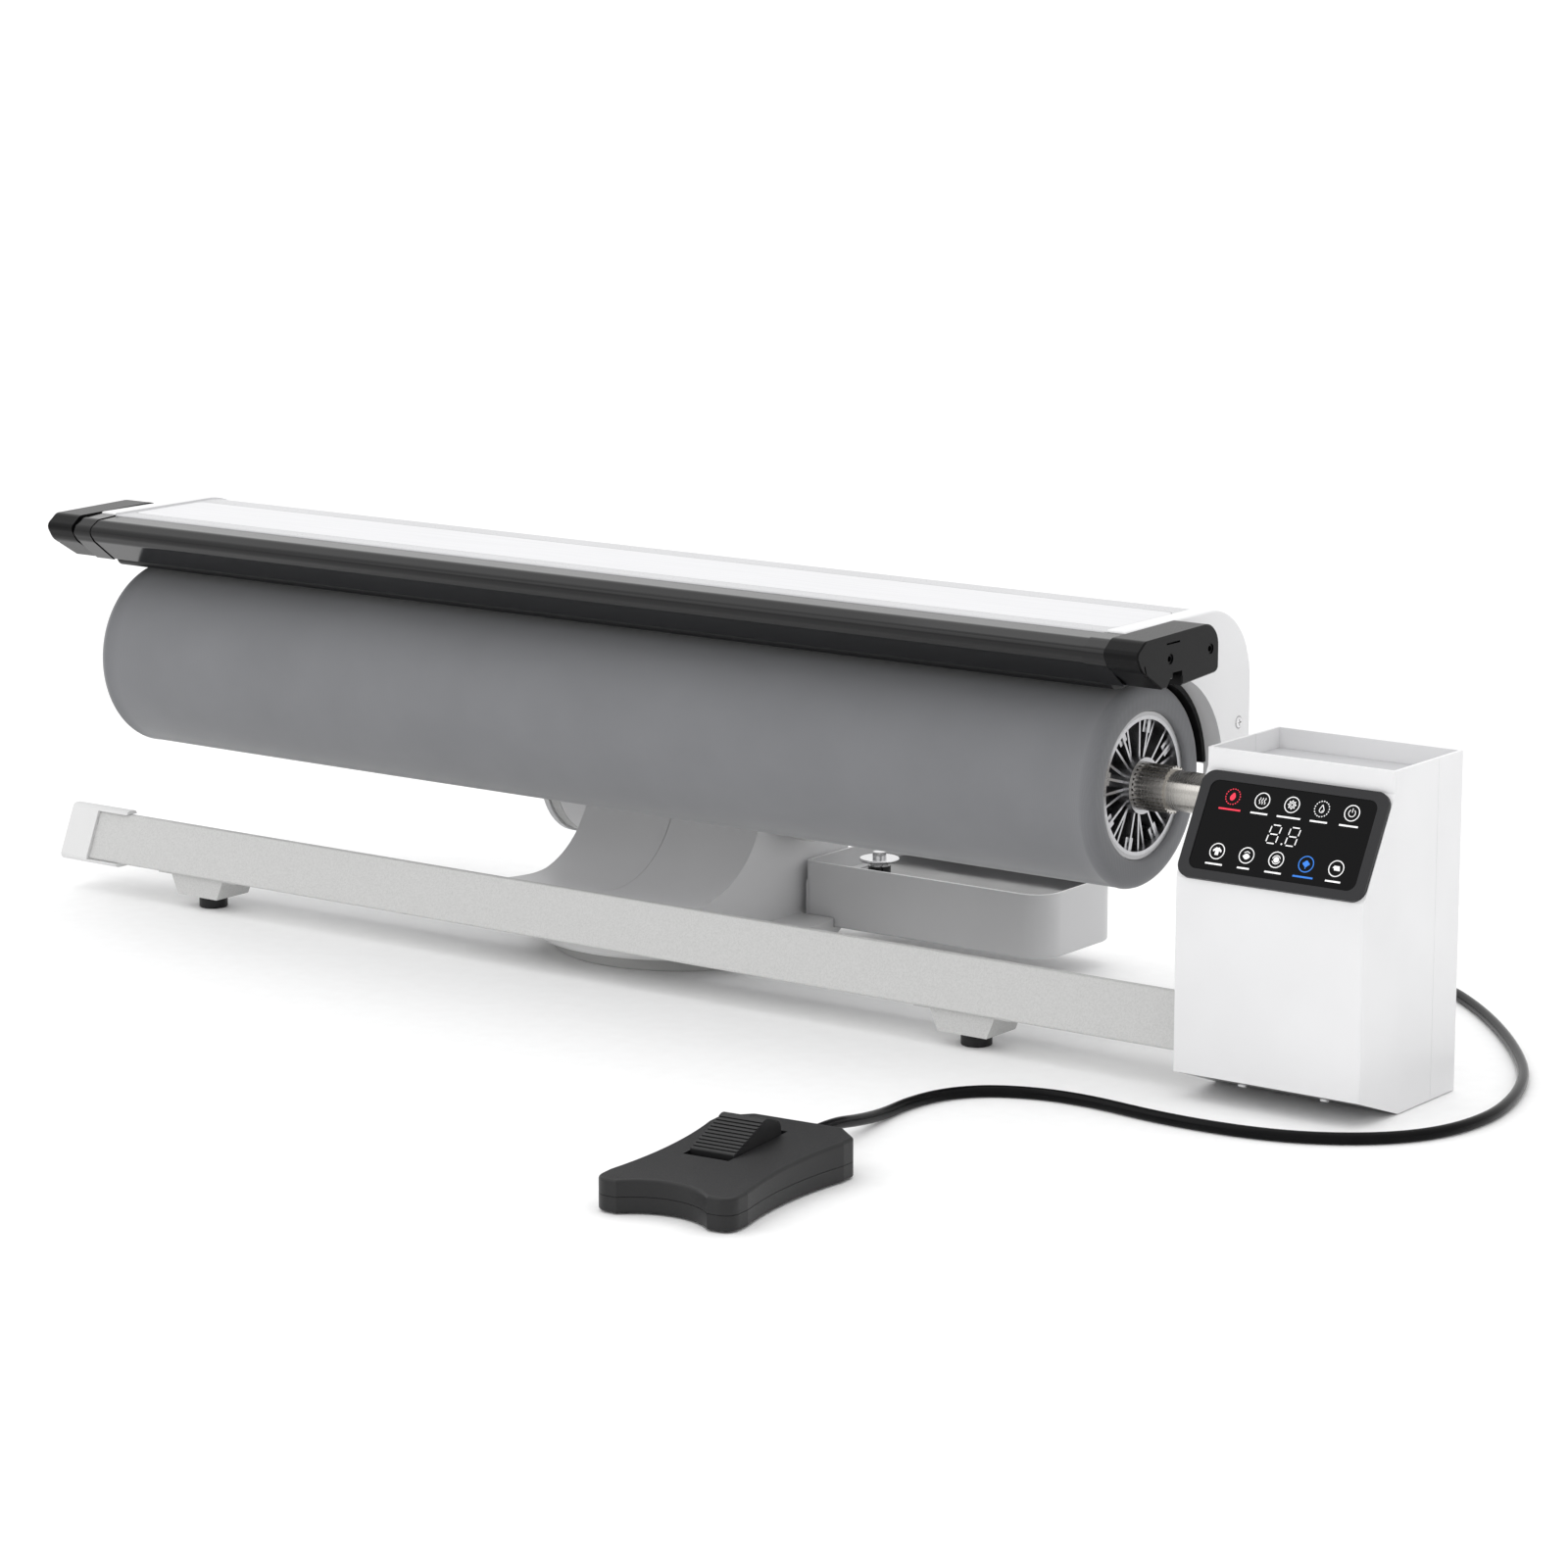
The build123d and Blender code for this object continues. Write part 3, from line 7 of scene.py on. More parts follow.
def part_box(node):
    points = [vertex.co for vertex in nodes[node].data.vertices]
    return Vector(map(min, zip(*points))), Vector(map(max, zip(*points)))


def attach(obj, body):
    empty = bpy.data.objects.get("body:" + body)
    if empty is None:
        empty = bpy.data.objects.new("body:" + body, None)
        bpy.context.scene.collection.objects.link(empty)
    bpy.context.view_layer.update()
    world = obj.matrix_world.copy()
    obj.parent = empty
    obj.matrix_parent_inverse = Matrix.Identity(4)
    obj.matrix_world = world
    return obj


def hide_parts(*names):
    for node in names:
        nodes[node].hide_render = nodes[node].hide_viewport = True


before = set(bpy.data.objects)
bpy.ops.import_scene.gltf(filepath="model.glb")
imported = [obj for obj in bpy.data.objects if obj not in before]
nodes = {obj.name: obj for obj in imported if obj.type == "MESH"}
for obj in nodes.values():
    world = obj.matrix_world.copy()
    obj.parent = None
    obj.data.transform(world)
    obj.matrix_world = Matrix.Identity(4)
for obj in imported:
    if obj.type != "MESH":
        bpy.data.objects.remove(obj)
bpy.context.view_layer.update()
print("frame loaded,", len(nodes), "CAD nodes")


# small helpers

def hexToLinear(code):
    # sRGB hex to the linear colour that shaders take
    parts = [int(code[i:i + 2], 16) / 255 for i in (1, 3, 5)]
    return [p / 12.92 if p <= 0.04045 else ((p + 0.055) / 1.055) ** 2.4 for p in parts] + [1.0]


def perMm(size):
    # texture scale for a feature of this many millimetres, on coordinates in metres
    return 1000.0 / size


def addNode(tree, kind, inputs=None, **settings):
    node = tree.nodes.new("ShaderNode" + kind)
    for name, value in settings.items():
        setattr(node, name, value)
    for name, value in (inputs or {}).items():
        if isinstance(value, bpy.types.NodeSocket):
            tree.links.new(value, node.inputs[name])
        else:
            node.inputs[name].default_value = value
    return node


def startMaterial(name, colour, roughness, metallic=0.0, ior=1.5, **sockets):
    material = bpy.data.materials.new(name)
    material.use_nodes = True
    tree = material.node_tree
    tree.nodes.clear()
    shader = addNode(tree, "BsdfPrincipled", {
        "Base Color": hexToLinear(colour), "Roughness": roughness, "Metallic": metallic, "IOR": ior})
    for name, value in sockets.items():
        shader.inputs[name.replace("_", " ")].default_value = value
    addNode(tree, "OutputMaterial", {"Surface": shader.outputs["BSDF"]})
    place = addNode(tree, "TexCoord").outputs["Object"]
    return material, tree, shader, place


def mixColours(tree, factor, first, second):
    mix = addNode(tree, "Mix", data_type="RGBA")
    tree.links.new(factor, mix.inputs[0])
    for socket, value in ((mix.inputs[6], first), (mix.inputs[7], second)):
        if isinstance(value, bpy.types.NodeSocket):
            tree.links.new(value, socket)
        else:
            socket.default_value = value
    return mix.outputs[2]


def spread(tree, value, low, high, outLow=0.0, outHigh=1.0):
    # stretches a texture's middle values over the wanted range
    ranged = addNode(tree, "MapRange", {
        "Value": value, "From Min": low, "From Max": high, "To Min": outLow, "To Max": outHigh})
    return ranged.outputs["Result"]


def useBump(tree, shader, height, distanceMm, strength=1.0):
    bump = addNode(tree, "Bump", {"Height": height, "Distance": distanceMm / 1000, "Strength": strength})
    tree.links.new(bump.outputs["Normal"], shader.inputs["Normal"])


def setLinks(tree, shader, **sources):
    for name, socket in sources.items():
        tree.links.new(socket, shader.inputs[name.replace("_", " ")])


# materials

def mouldedPlastic(name, colour, roughness, grainMm=0.5, grainDepth=0.012):
    # injection-moulded ABS: even colour, spark-eroded grain that softens the gloss
    material, tree, shader, place = startMaterial(name, colour, roughness, ior=1.53)
    grain = addNode(tree, "TexNoise", {"Vector": place, "Scale": perMm(grainMm), "Detail": 2.0})
    cloud = addNode(tree, "TexNoise", {"Vector": place, "Scale": perMm(90), "Detail": 2.0})
    base = hexToLinear(colour)
    mottle = 0.02
    darker = [c * (1 - mottle * 2) for c in base[:3]] + [1.0]
    lighter = [min(1.0, c * (1 + mottle)) for c in base[:3]] + [1.0]
    cloudAmount = spread(tree, cloud.outputs["Fac"], 0.3, 0.7)
    setLinks(tree, shader, Base_Color=mixColours(tree, cloudAmount, darker, lighter))
    setLinks(tree, shader, Roughness=spread(tree, grain.outputs["Fac"], 0.3, 0.7,
                                            roughness * 0.9, min(1.0, roughness * 1.12)))
    useBump(tree, shader, grain.outputs["Fac"], grainDepth)
    return material


def texturedPowderCoat(name, colour, speck):
    # fine-textured powder coat: tiny orange-peel bumps and darker flecks break the light
    material, tree, shader, place = startMaterial(name, colour, 0.5, ior=1.5)
    peel = addNode(tree, "TexNoise", {"Vector": place, "Scale": perMm(1.2), "Detail": 3.0})
    fleck = addNode(tree, "TexNoise", {"Vector": place, "Scale": perMm(1.3), "Detail": 4.0, "Roughness": 0.7})
    amount = spread(tree, fleck.outputs["Fac"], 0.4, 0.7)
    setLinks(tree, shader, Base_Color=mixColours(tree, amount, hexToLinear(colour), hexToLinear(speck)))
    useBump(tree, shader, peel.outputs["Fac"], 0.03)
    return material


def wovenCover(name, colour, thread):
    # tightly woven polyester cover over padding: matt, with a soft sheen at the edges
    # real threads are 0.4 mm apart; drawn 1.4 mm apart so that they show
    material, tree, shader, place = startMaterial(
        name, colour, 0.86, ior=1.45, Sheen_Weight=0.35, Sheen_Roughness=0.5)
    coverRadius = 0.067
    threadGap = 1.4
    split = addNode(tree, "SeparateXYZ", {"Vector": place})
    angle = addNode(tree, "Math", {0: split.outputs["Z"], 1: split.outputs["Y"]}, operation="ARCTAN2")
    around = addNode(tree, "Math", {0: angle.outputs[0], 1: coverRadius}, operation="MULTIPLY")
    waves = []
    for source in (split.outputs["X"], around.outputs[0]):
        turn = addNode(tree, "Math", {0: source, 1: 2 * math.pi * perMm(threadGap)}, operation="MULTIPLY")
        waves.append(addNode(tree, "Math", {0: turn.outputs[0]}, operation="SINE").outputs[0])
    weave = addNode(tree, "Math", {0: waves[0], 1: waves[1]}, operation="MULTIPLY").outputs[0]
    cloud = addNode(tree, "TexNoise", {"Vector": place, "Scale": perMm(60), "Detail": 4.0})
    tint = spread(tree, cloud.outputs["Fac"], 0.3, 0.7, 0.0, 0.3)
    ground = mixColours(tree, tint, hexToLinear(colour), hexToLinear(thread))
    amount = spread(tree, weave, -1.0, 1.0, 0.0, 0.22)
    setLinks(tree, shader, Base_Color=mixColours(tree, amount, ground, hexToLinear(thread)))
    useBump(tree, shader, weave, 0.03, 0.5)
    return material


def brushedMetal(name, colour, roughness):
    # ground or drawn metal: fine parallel scratches stretch the highlight
    material, tree, shader, place = startMaterial(name, colour, roughness, metallic=1.0)
    # scratches 0.6 mm apart and 60 mm long, along the roller
    stretch = (perMm(60), perMm(0.6), perMm(0.6))
    scaled = addNode(tree, "VectorMath", {0: place, 1: stretch}, operation="MULTIPLY")
    scratch = addNode(tree, "TexNoise", {"Vector": scaled.outputs[0], "Scale": 1.0, "Detail": 3.0})
    setLinks(tree, shader, Roughness=spread(tree, scratch.outputs["Fac"], 0.3, 0.7,
                                            roughness * 0.75, roughness * 1.35))
    useBump(tree, shader, scratch.outputs["Fac"], 0.01)
    return material


def turnedSteel(name, colour, roughness):
    # shaft turned on a lathe: rings round the axis, 0.3 mm apart, drawn at 0.8 mm
    material, tree, shader, place = startMaterial(name, colour, roughness, metallic=1.0, Anisotropic=0.5)
    split = addNode(tree, "SeparateXYZ", {"Vector": place})
    rings = addNode(tree, "Math", {0: split.outputs["X"], 1: perMm(0.8)}, operation="MULTIPLY")
    row = addNode(tree, "CombineXYZ", {"X": rings.outputs[0]})
    feed = addNode(tree, "TexNoise", {"Vector": row.outputs[0], "Scale": 1.0, "Detail": 2.0})
    setLinks(tree, shader, Roughness=spread(tree, feed.outputs["Fac"], 0.3, 0.7,
                                            roughness * 0.8, roughness * 1.3))
    useBump(tree, shader, feed.outputs["Fac"], 0.008)
    return material


def castMetal(name, colour, roughness, grainMm=1.2):
    # die-cast aluminium: slightly sandy skin; painted shade darkens the base colour in corners and hollows,
    # so the edges read bright
    material, tree, shader, place = startMaterial(name, colour, roughness, metallic=1.0)
    grain = addNode(tree, "TexNoise", {"Vector": place, "Scale": perMm(grainMm), "Detail": 4.0})
    # ambient occlusion sets where the painted corner shade goes
    corners = addNode(tree, "AmbientOcclusion", {"Distance": 0.012})
    paintedCornerShade = spread(tree, corners.outputs["AO"], 0.15, 0.75)
    # colour of the painted shade in the corners
    dark = [c * 0.45 for c in hexToLinear(colour)[:3]] + [1.0]
    setLinks(tree, shader, Base_Color=mixColours(tree, paintedCornerShade, dark, hexToLinear(colour)))
    setLinks(tree, shader, Roughness=spread(tree, grain.outputs["Fac"], 0.3, 0.7,
                                            roughness * 0.8, roughness * 1.25))
    useBump(tree, shader, grain.outputs["Fac"], 0.03)
    return material


def glossyPaint(name, colour, roughness, waviness=0.02):
    # gloss enamel or a polished window: deep even colour under a faint orange peel
    material, tree, shader, place = startMaterial(
        name, colour, roughness, ior=1.5, Coat_Weight=0.15, Coat_Roughness=0.08)
    peel = addNode(tree, "TexNoise", {"Vector": place, "Scale": perMm(2.2), "Detail": 2.0})
    dust = addNode(tree, "TexNoise", {"Vector": place, "Scale": perMm(40), "Detail": 5.0})
    setLinks(tree, shader, Roughness=spread(tree, dust.outputs["Fac"], 0.3, 0.7,
                                            roughness * 0.85, roughness * 1.2))
    useBump(tree, shader, peel.outputs["Fac"], waviness)
    return material


def brushedPanelPaint(name, colour, line):
    # white satin lacquer over brushed sheet: faint lines run the length of the panel
    material, tree, shader, place = startMaterial(name, colour, 0.35, ior=1.5)
    stretch = (perMm(70), perMm(0.9), perMm(0.9))
    scaled = addNode(tree, "VectorMath", {0: place, 1: stretch}, operation="MULTIPLY")
    lines = addNode(tree, "TexNoise", {"Vector": scaled.outputs[0], "Scale": 1.0, "Detail": 3.0})
    amount = spread(tree, lines.outputs["Fac"], 0.35, 0.7)
    setLinks(tree, shader, Base_Color=mixColours(tree, amount, hexToLinear(colour), hexToLinear(line)))
    useBump(tree, shader, lines.outputs["Fac"], 0.01)
    return material


def softRubber(name, colour, roughness):
    # moulded rubber or PVC: soft gloss, slightly uneven, with a bloom that greys it
    material, tree, shader, place = startMaterial(name, colour, roughness, ior=1.52)
    bloom = addNode(tree, "TexNoise", {"Vector": place, "Scale": perMm(14), "Detail": 5.0})
    grain = addNode(tree, "TexNoise", {"Vector": place, "Scale": perMm(0.7), "Detail": 2.0})
    base = hexToLinear(colour)
    grey = [c + 0.002 for c in base[:3]] + [1.0]
    amount = spread(tree, bloom.outputs["Fac"], 0.4, 0.75)
    setLinks(tree, shader, Base_Color=mixColours(tree, amount, base, grey))
    setLinks(tree, shader, Roughness=spread(tree, bloom.outputs["Fac"], 0.3, 0.7,
                                            roughness * 0.9, min(1.0, roughness * 1.15)))
    useBump(tree, shader, grain.outputs["Fac"], 0.01)
    return material


def printedInk(name, colour, glow):
    # screen-printed symbol lit from behind by an LED
    material, tree, shader, place = startMaterial(name, colour, 0.5)
    edge = addNode(tree, "TexNoise", {"Vector": place, "Scale": perMm(3), "Detail": 1.0})
    base = hexToLinear(colour)
    dim = [c * 0.86 for c in base[:3]] + [1.0]
    amount = spread(tree, edge.outputs["Fac"], 0.35, 0.65)
    setLinks(tree, shader, Base_Color=mixColours(tree, amount, dim, base))
    shader.inputs["Emission Color"].default_value = base
    shader.inputs["Emission Strength"].default_value = glow
    return material


def smokedPlastic(name, colour):
    # smoked polycarbonate: dark, glossy, light passes only a little
    material, tree, shader, place = startMaterial(name, colour, 0.12, ior=1.585, Transmission_Weight=0.25)
    cloud = addNode(tree, "TexNoise", {"Vector": place, "Scale": perMm(30), "Detail": 3.0})
    setLinks(tree, shader, Roughness=spread(tree, cloud.outputs["Fac"], 0.3, 0.7, 0.09, 0.18))
    useBump(tree, shader, cloud.outputs["Fac"], 0.02)
    return material


finishes = {
    "rollerCover": wovenCover("polyesterRollerCover", "#76777A", "#636467"),
    "whiteAbs": mouldedPlastic("whiteMouldedAbs", "#E5E5E6", 0.36),
    # the same white housing plastic, greyed as painted shade for the recessed tray floor
    "trayFloorPaintedShade": mouldedPlastic("whiteAbsPaintedTrayShade", "#C0C0C2", 0.45),
    "coverPaint": mouldedPlastic("whiteEnamelledSheet", "#C0C0C2", 0.3, grainMm=1.4),
    "coverPanel": brushedPanelPaint("brushedWhitePanel", "#DDDDDF", "#D4D4D6"),
    "blackFascia": glossyPaint("blackSatinEnamel", "#040405", 0.13),
    "blackAbs": mouldedPlastic("blackMouldedAbs", "#050506", 0.3, grainMm=0.6),
    "barPaint": texturedPowderCoat("lightGreyPowderCoat", "#C4C4C3", "#B5B5B4"),
    "barCapAbs": mouldedPlastic("lightGreyMouldedAbs", "#D6D6D6", 0.42),
    "pedestalAbs": mouldedPlastic("midGreyMouldedAbs", "#D8D8D9", 0.42, grainMm=0.7),
    "trayAbs": mouldedPlastic("greyTrayAbs", "#CBCBCC", 0.4, grainMm=0.7),
    "smokedTank": smokedPlastic("smokedPolycarbonate", "#141516"),
    "rubber": softRubber("mouldedRubber", "#161617", 0.5),
    "padRubber": softRubber("lightGreyRubber", "#AEAEAD", 0.6),
    "pedalAbs": mouldedPlastic("blackFineGrainAbs", "#161617", 0.46, grainMm=0.6, grainDepth=0.03),
    "cordPvc": softRubber("glossyCordPvc", "#040405", 0.2),
    "panelFrame": mouldedPlastic("darkGreyMouldedAbs", "#232325", 0.38),
    "panelGlass": glossyPaint("blackPolycarbonateWindow", "#060607", 0.08, waviness=0.003),
    "turnedShaft": turnedSteel("turnedSteel", "#BDBAB5", 0.24),
    "groundSteel": brushedMetal("groundSteel", "#A9A9AA", 0.32),
    "stainless": brushedMetal("polishedStainless", "#D9D9DA", 0.16),
    # both cast finishes carry painted corner shade in their base colour
    "castAluminium": castMetal("dieCastAluminium", "#BEBEC0", 0.32),
    "motorCast": castMetal("sandCastAluminium", "#9A9B9D", 0.5, 2.0),
    "plateCoating": mouldedPlastic("darkNonStickCoating", "#101011", 0.4, grainMm=0.8),
    "bronze": brushedMetal("sinteredBronze", "#B08D57", 0.45),
    "circuitBoard": mouldedPlastic("greenSolderMask", "#12402A", 0.35),
    "insulation": mouldedPlastic("mineralFibreBlanket", "#CFC7B4", 0.95, grainMm=2.0, grainDepth=0.4),
    "inkWhite": printedInk("whiteBacklitInk", "#E4E4E4", 0.35),
    "inkRed": printedInk("redBacklitInk", "#DE2440", 0.45),
    "inkBlue": printedInk("blueBacklitInk", "#1F70CC", 0.45),
}

# the dark finishes reflect less than bare plastic does, so they stay black when seen square on
darkShine = {
    "blackFascia": 0.24, "blackAbs": 0.12, "panelGlass": 0.0, "panelFrame": 0.22,
    "pedalAbs": 0.35, "plateCoating": 0.2, "rubber": 0.3, "cordPvc": 0.1,
}
for finishName, level in darkShine.items():
    shader = finishes[finishName].node_tree.nodes["Principled BSDF"]
    shader.inputs["Specular IOR Level"].default_value = level

nodeFinish = {
    "rollerCover": ["roller_padding"],
    "groundSteel": ["roller_core_tube", "housing_bottom_plate", "drive_bracket", "shaft_carrier",
                    "heating_elements", "shoe_bulkheads", "pedestal_column", "needle_bearings"],
    "castAluminium": ["hub_right", "hub_left"],
    "turnedShaft": ["roller_shaft", "splined_collar", "pivot_shaft"],
    "barPaint": ["base_bar", "foot_brackets", "lift_arms"],
    "rubber": ["rubber_feet", "cord_gland", "pedal_strain_relief"],
    "padRubber": ["base_pad"],
    "whiteAbs": ["housing_front", "housing_back", "end_covers"],
    # the tray floor carries painted shade in its base colour
    "trayFloorPaintedShade": ["housing_top_tray"],
    "panelFrame": ["panel_frame"],
    "panelGlass": ["panel_glass"],
    "circuitBoard": ["control_board"],
    "motorCast": ["roller_gearmotor", "lift_gearmotor"],
    "blackAbs": ["mains_inlet", "fascia_caps", "pedal_microswitch"],
    "stainless": ["case_screws", "end_cover_screws", "steam_manifold", "tank_cap",
                  "rocker_pin", "pedal_spring"],
    "plateCoating": ["pressing_plate", "feed_lip"],
    "coverPaint": ["shoe_cover"],
    "coverPanel": ["cover_panel"],
    "blackFascia": ["front_fascia", "fascia_sleeves"],
    "insulation": ["insulation_blanket"],
    "barCapAbs": ["bar_end_cap", "base_plate"],
    "pedestalAbs": ["pedestal_fairing_left", "pedestal_fairing_right", "hinge_barrels",
                    "hinge_cap"],
    "bronze": ["pivot_bushes"],
    "trayAbs": ["tank_tray"],
    "smokedTank": ["water_tank", "tank_lid"],
    "pedalAbs": ["pedal_case_bottom", "pedal_case_top", "pedal_rocker"],
    "cordPvc": ["pedal_cord"],
}


def setFinish(obj, name):
    obj.data.materials.clear()
    obj.data.materials.append(finishes[name])


for finishName, names in nodeFinish.items():
    for nodeName in names:
        setFinish(nodes[nodeName], finishName)
print("finishes on CAD nodes")


# camera, light and floor

view = {
    "azimuth": 36.56, "elevation": 11.43,      # degrees round the object and above the horizon
    "position": (2.0139, -2.5224, 0.7774),     # metres
    "lens": 109.67, "sensor": 36.0,            # millimetres
    "farEnd": 120,                             # metres
}


def makeCamera():
    data = bpy.data.cameras.new("productCamera")
    data.lens = view["lens"]
    data.sensor_width = view["sensor"]
    data.clip_end = view["farEnd"]
    camera = bpy.data.objects.new("productCamera", data)
    bpy.context.scene.collection.objects.link(camera)
    a, e = math.radians(view["azimuth"]), math.radians(view["elevation"])
    back = Vector((math.sin(a) * math.cos(e), -math.cos(a) * math.cos(e), math.sin(e)))
    camera.rotation_mode = "QUATERNION"
    camera.rotation_quaternion = (-back).to_track_quat("-Z", "Y")
    camera.location = view["position"]
    bpy.context.scene.camera = camera


studio = {
    "sky": 0.97, "skyLean": (-0.11, -0.05, 0.22),    # even light, and how much each way adds to it
    "paperStrength": 1.1,
    "floorColour": "#FBFBFB", "fibreDark": "#F9F9F9", "fibreLight": "#FCFCFC",
    "floorReach": 40.0, "aim": (0.1, 0, 0.15),       # metres
    "lamps": [  # name, place, size, watts
        ("topSoftbox", (0.0, 0.3, 3.2), 3.0, 14),
        ("keySoftbox", (-1.3, -2.2, 2.2), 2.0, 9),
    ],
}


def makeSky():
    # white overhead, dimmer below and on the right; the camera itself sees plain white paper
    world = bpy.data.worlds.new("studioWhite")
    world.use_nodes = True
    tree = world.node_tree
    tree.nodes.clear()
    direction = addNode(tree, "TexCoord").outputs["Generated"]
    lean = addNode(tree, "VectorMath", {0: direction, 1: studio["skyLean"]}, operation="DOT_PRODUCT")
    strength = addNode(tree, "Math", {0: lean.outputs["Value"], 1: studio["sky"]}, operation="ADD")
    light = addNode(tree, "Background", {"Strength": strength.outputs[0]})
    paper = addNode(tree, "Background", {"Strength": studio["paperStrength"]})
    seen = addNode(tree, "LightPath").outputs["Is Camera Ray"]
    both = addNode(tree, "MixShader", {0: seen, 1: light.outputs[0], 2: paper.outputs[0]})
    for source in (light, paper):
        source.inputs["Color"].default_value = (1, 1, 1, 1)
    addNode(tree, "OutputWorld", {"Surface": both.outputs[0]})
    bpy.context.scene.world = world


def makeStudio():
    makeSky()
    bpy.context.scene.view_settings.view_transform = "Standard"
    for name, place, size, watts in studio["lamps"]:
        lamp = bpy.data.lights.new(name, "AREA")
        lamp.size = size
        lamp.energy = watts
        holder = bpy.data.objects.new(name, lamp)
        bpy.context.scene.collection.objects.link(holder)
        holder.location = place
        aim = Vector(studio["aim"]) - Vector(place)
        holder.rotation_mode = "QUATERNION"
        holder.rotation_quaternion = aim.to_track_quat("-Z", "Y")
    material, tree, shader, place = startMaterial("mattPaperFloor", studio["floorColour"], 0.7)
    fibre = addNode(tree, "TexNoise", {"Vector": place, "Scale": perMm(12), "Detail": 2.0})
    amount = spread(tree, fibre.outputs["Fac"], 0.3, 0.7)
    dark, light = hexToLinear(studio["fibreDark"]), hexToLinear(studio["fibreLight"])
    setLinks(tree, shader, Base_Color=mixColours(tree, amount, dark, light))
    mesh = bpy.data.meshes.new("studioFloor")
    reach = studio["floorReach"]
    corners = [(-reach, -reach, 0), (reach, -reach, 0), (reach, reach, 0), (-reach, reach, 0)]
    mesh.from_pydata(corners, [], [(0, 1, 2, 3)])
    mesh.materials.append(material)
    floor = bpy.data.objects.new("studioFloor", mesh)
    bpy.context.scene.collection.objects.link(floor)


makeCamera()
makeStudio()
print("camera, lamps and floor")


# shared mesh makers

def newPiece(name, mesh, body, finish, smooth=True):
    piece = bpy.data.objects.new(name, mesh)
    bpy.context.scene.collection.objects.link(piece)
    mesh.materials.append(finishes[finish])
    if smooth:
        for face in mesh.polygons:
            face.use_smooth = True
    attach(piece, body)
    return piece


# foot switch cord

cordPlan = {
    "diameter": 0.0075,
    "route": [  # the same points as the CAD tube, in metres
        (0.39876, -0.31236, 0.0140), (0.39702, -0.29244, 0.0140), (0.3935, -0.2620, 0.0085),
        (0.3875, -0.2280, 0.00375), (0.3845, -0.1960, 0.00375), (0.3910, -0.1630, 0.00375),
        (0.4140, -0.1380, 0.00375), (0.4610, -0.1250, 0.00375), (0.5350, -0.1355, 0.00375),
        (0.6040, -0.1290, 0.00375), (0.6520, -0.1030, 0.00375), (0.6800, -0.0660, 0.00375),
        (0.6880, -0.0180, 0.00375), (0.6800, 0.0300, 0.00375), (0.6600, 0.0840, 0.00375),
        (0.6280, 0.1340, 0.00375), (0.5880, 0.1840, 0.00375), (0.5490, 0.2250, 0.00375),
        (0.5080, 0.2600, 0.00375), (0.4620, 0.2690, 0.00375), (0.4280, 0.2400, 0.00375),
        (0.4310, 0.1950, 0.00375), (0.4650, 0.1630, 0.00375), (0.5010, 0.1390, 0.00375),
        (0.5240, 0.1120, 0.0080), (0.5275, 0.0870, 0.0160), (0.5275, 0.0644, 0.0160),
    ],
}


def makeCord():
    data = bpy.data.curves.new("footSwitchCord", "CURVE")
    data.dimensions = "3D"
    line = data.splines.new("NURBS")
    line.points.add(len(cordPlan["route"]) - 1)
    for point, place in zip(line.points, cordPlan["route"]):
        point.co = (*place, 1.0)
    line.order_u = 3
    line.use_endpoint_u = True
    line.resolution_u = 12
    data.bevel_depth = cordPlan["diameter"] / 2
    data.bevel_resolution = 6
    data.use_fill_caps = True
    cord = newPiece("footSwitchCord", data, "root", "cordPvc", smooth=False)
    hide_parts("pedal_cord")


makeCord()
print("cord")


# roller cover

rollerPlan = {
    "edgeRadius": 0.009,      # roundness of the padded ends
    "slack": 0.0004,          # how far the cloth dips between its threads' pull
    "seamAngle": -112,        # degrees, where the cloth's lengthwise seam lies
    "seamWidth": 0.007, "seamHeight": 0.0007,
    # the inner edge, in from the end and out from the bore
    "lip": [(0.004, 0.0), (0.0012, 0.0006), (0.0002, 0.002)],
    "boreClearance": 0.0002,
    "ringSteps": 160, "lengthSteps": 90, "arcSteps": 10,
}


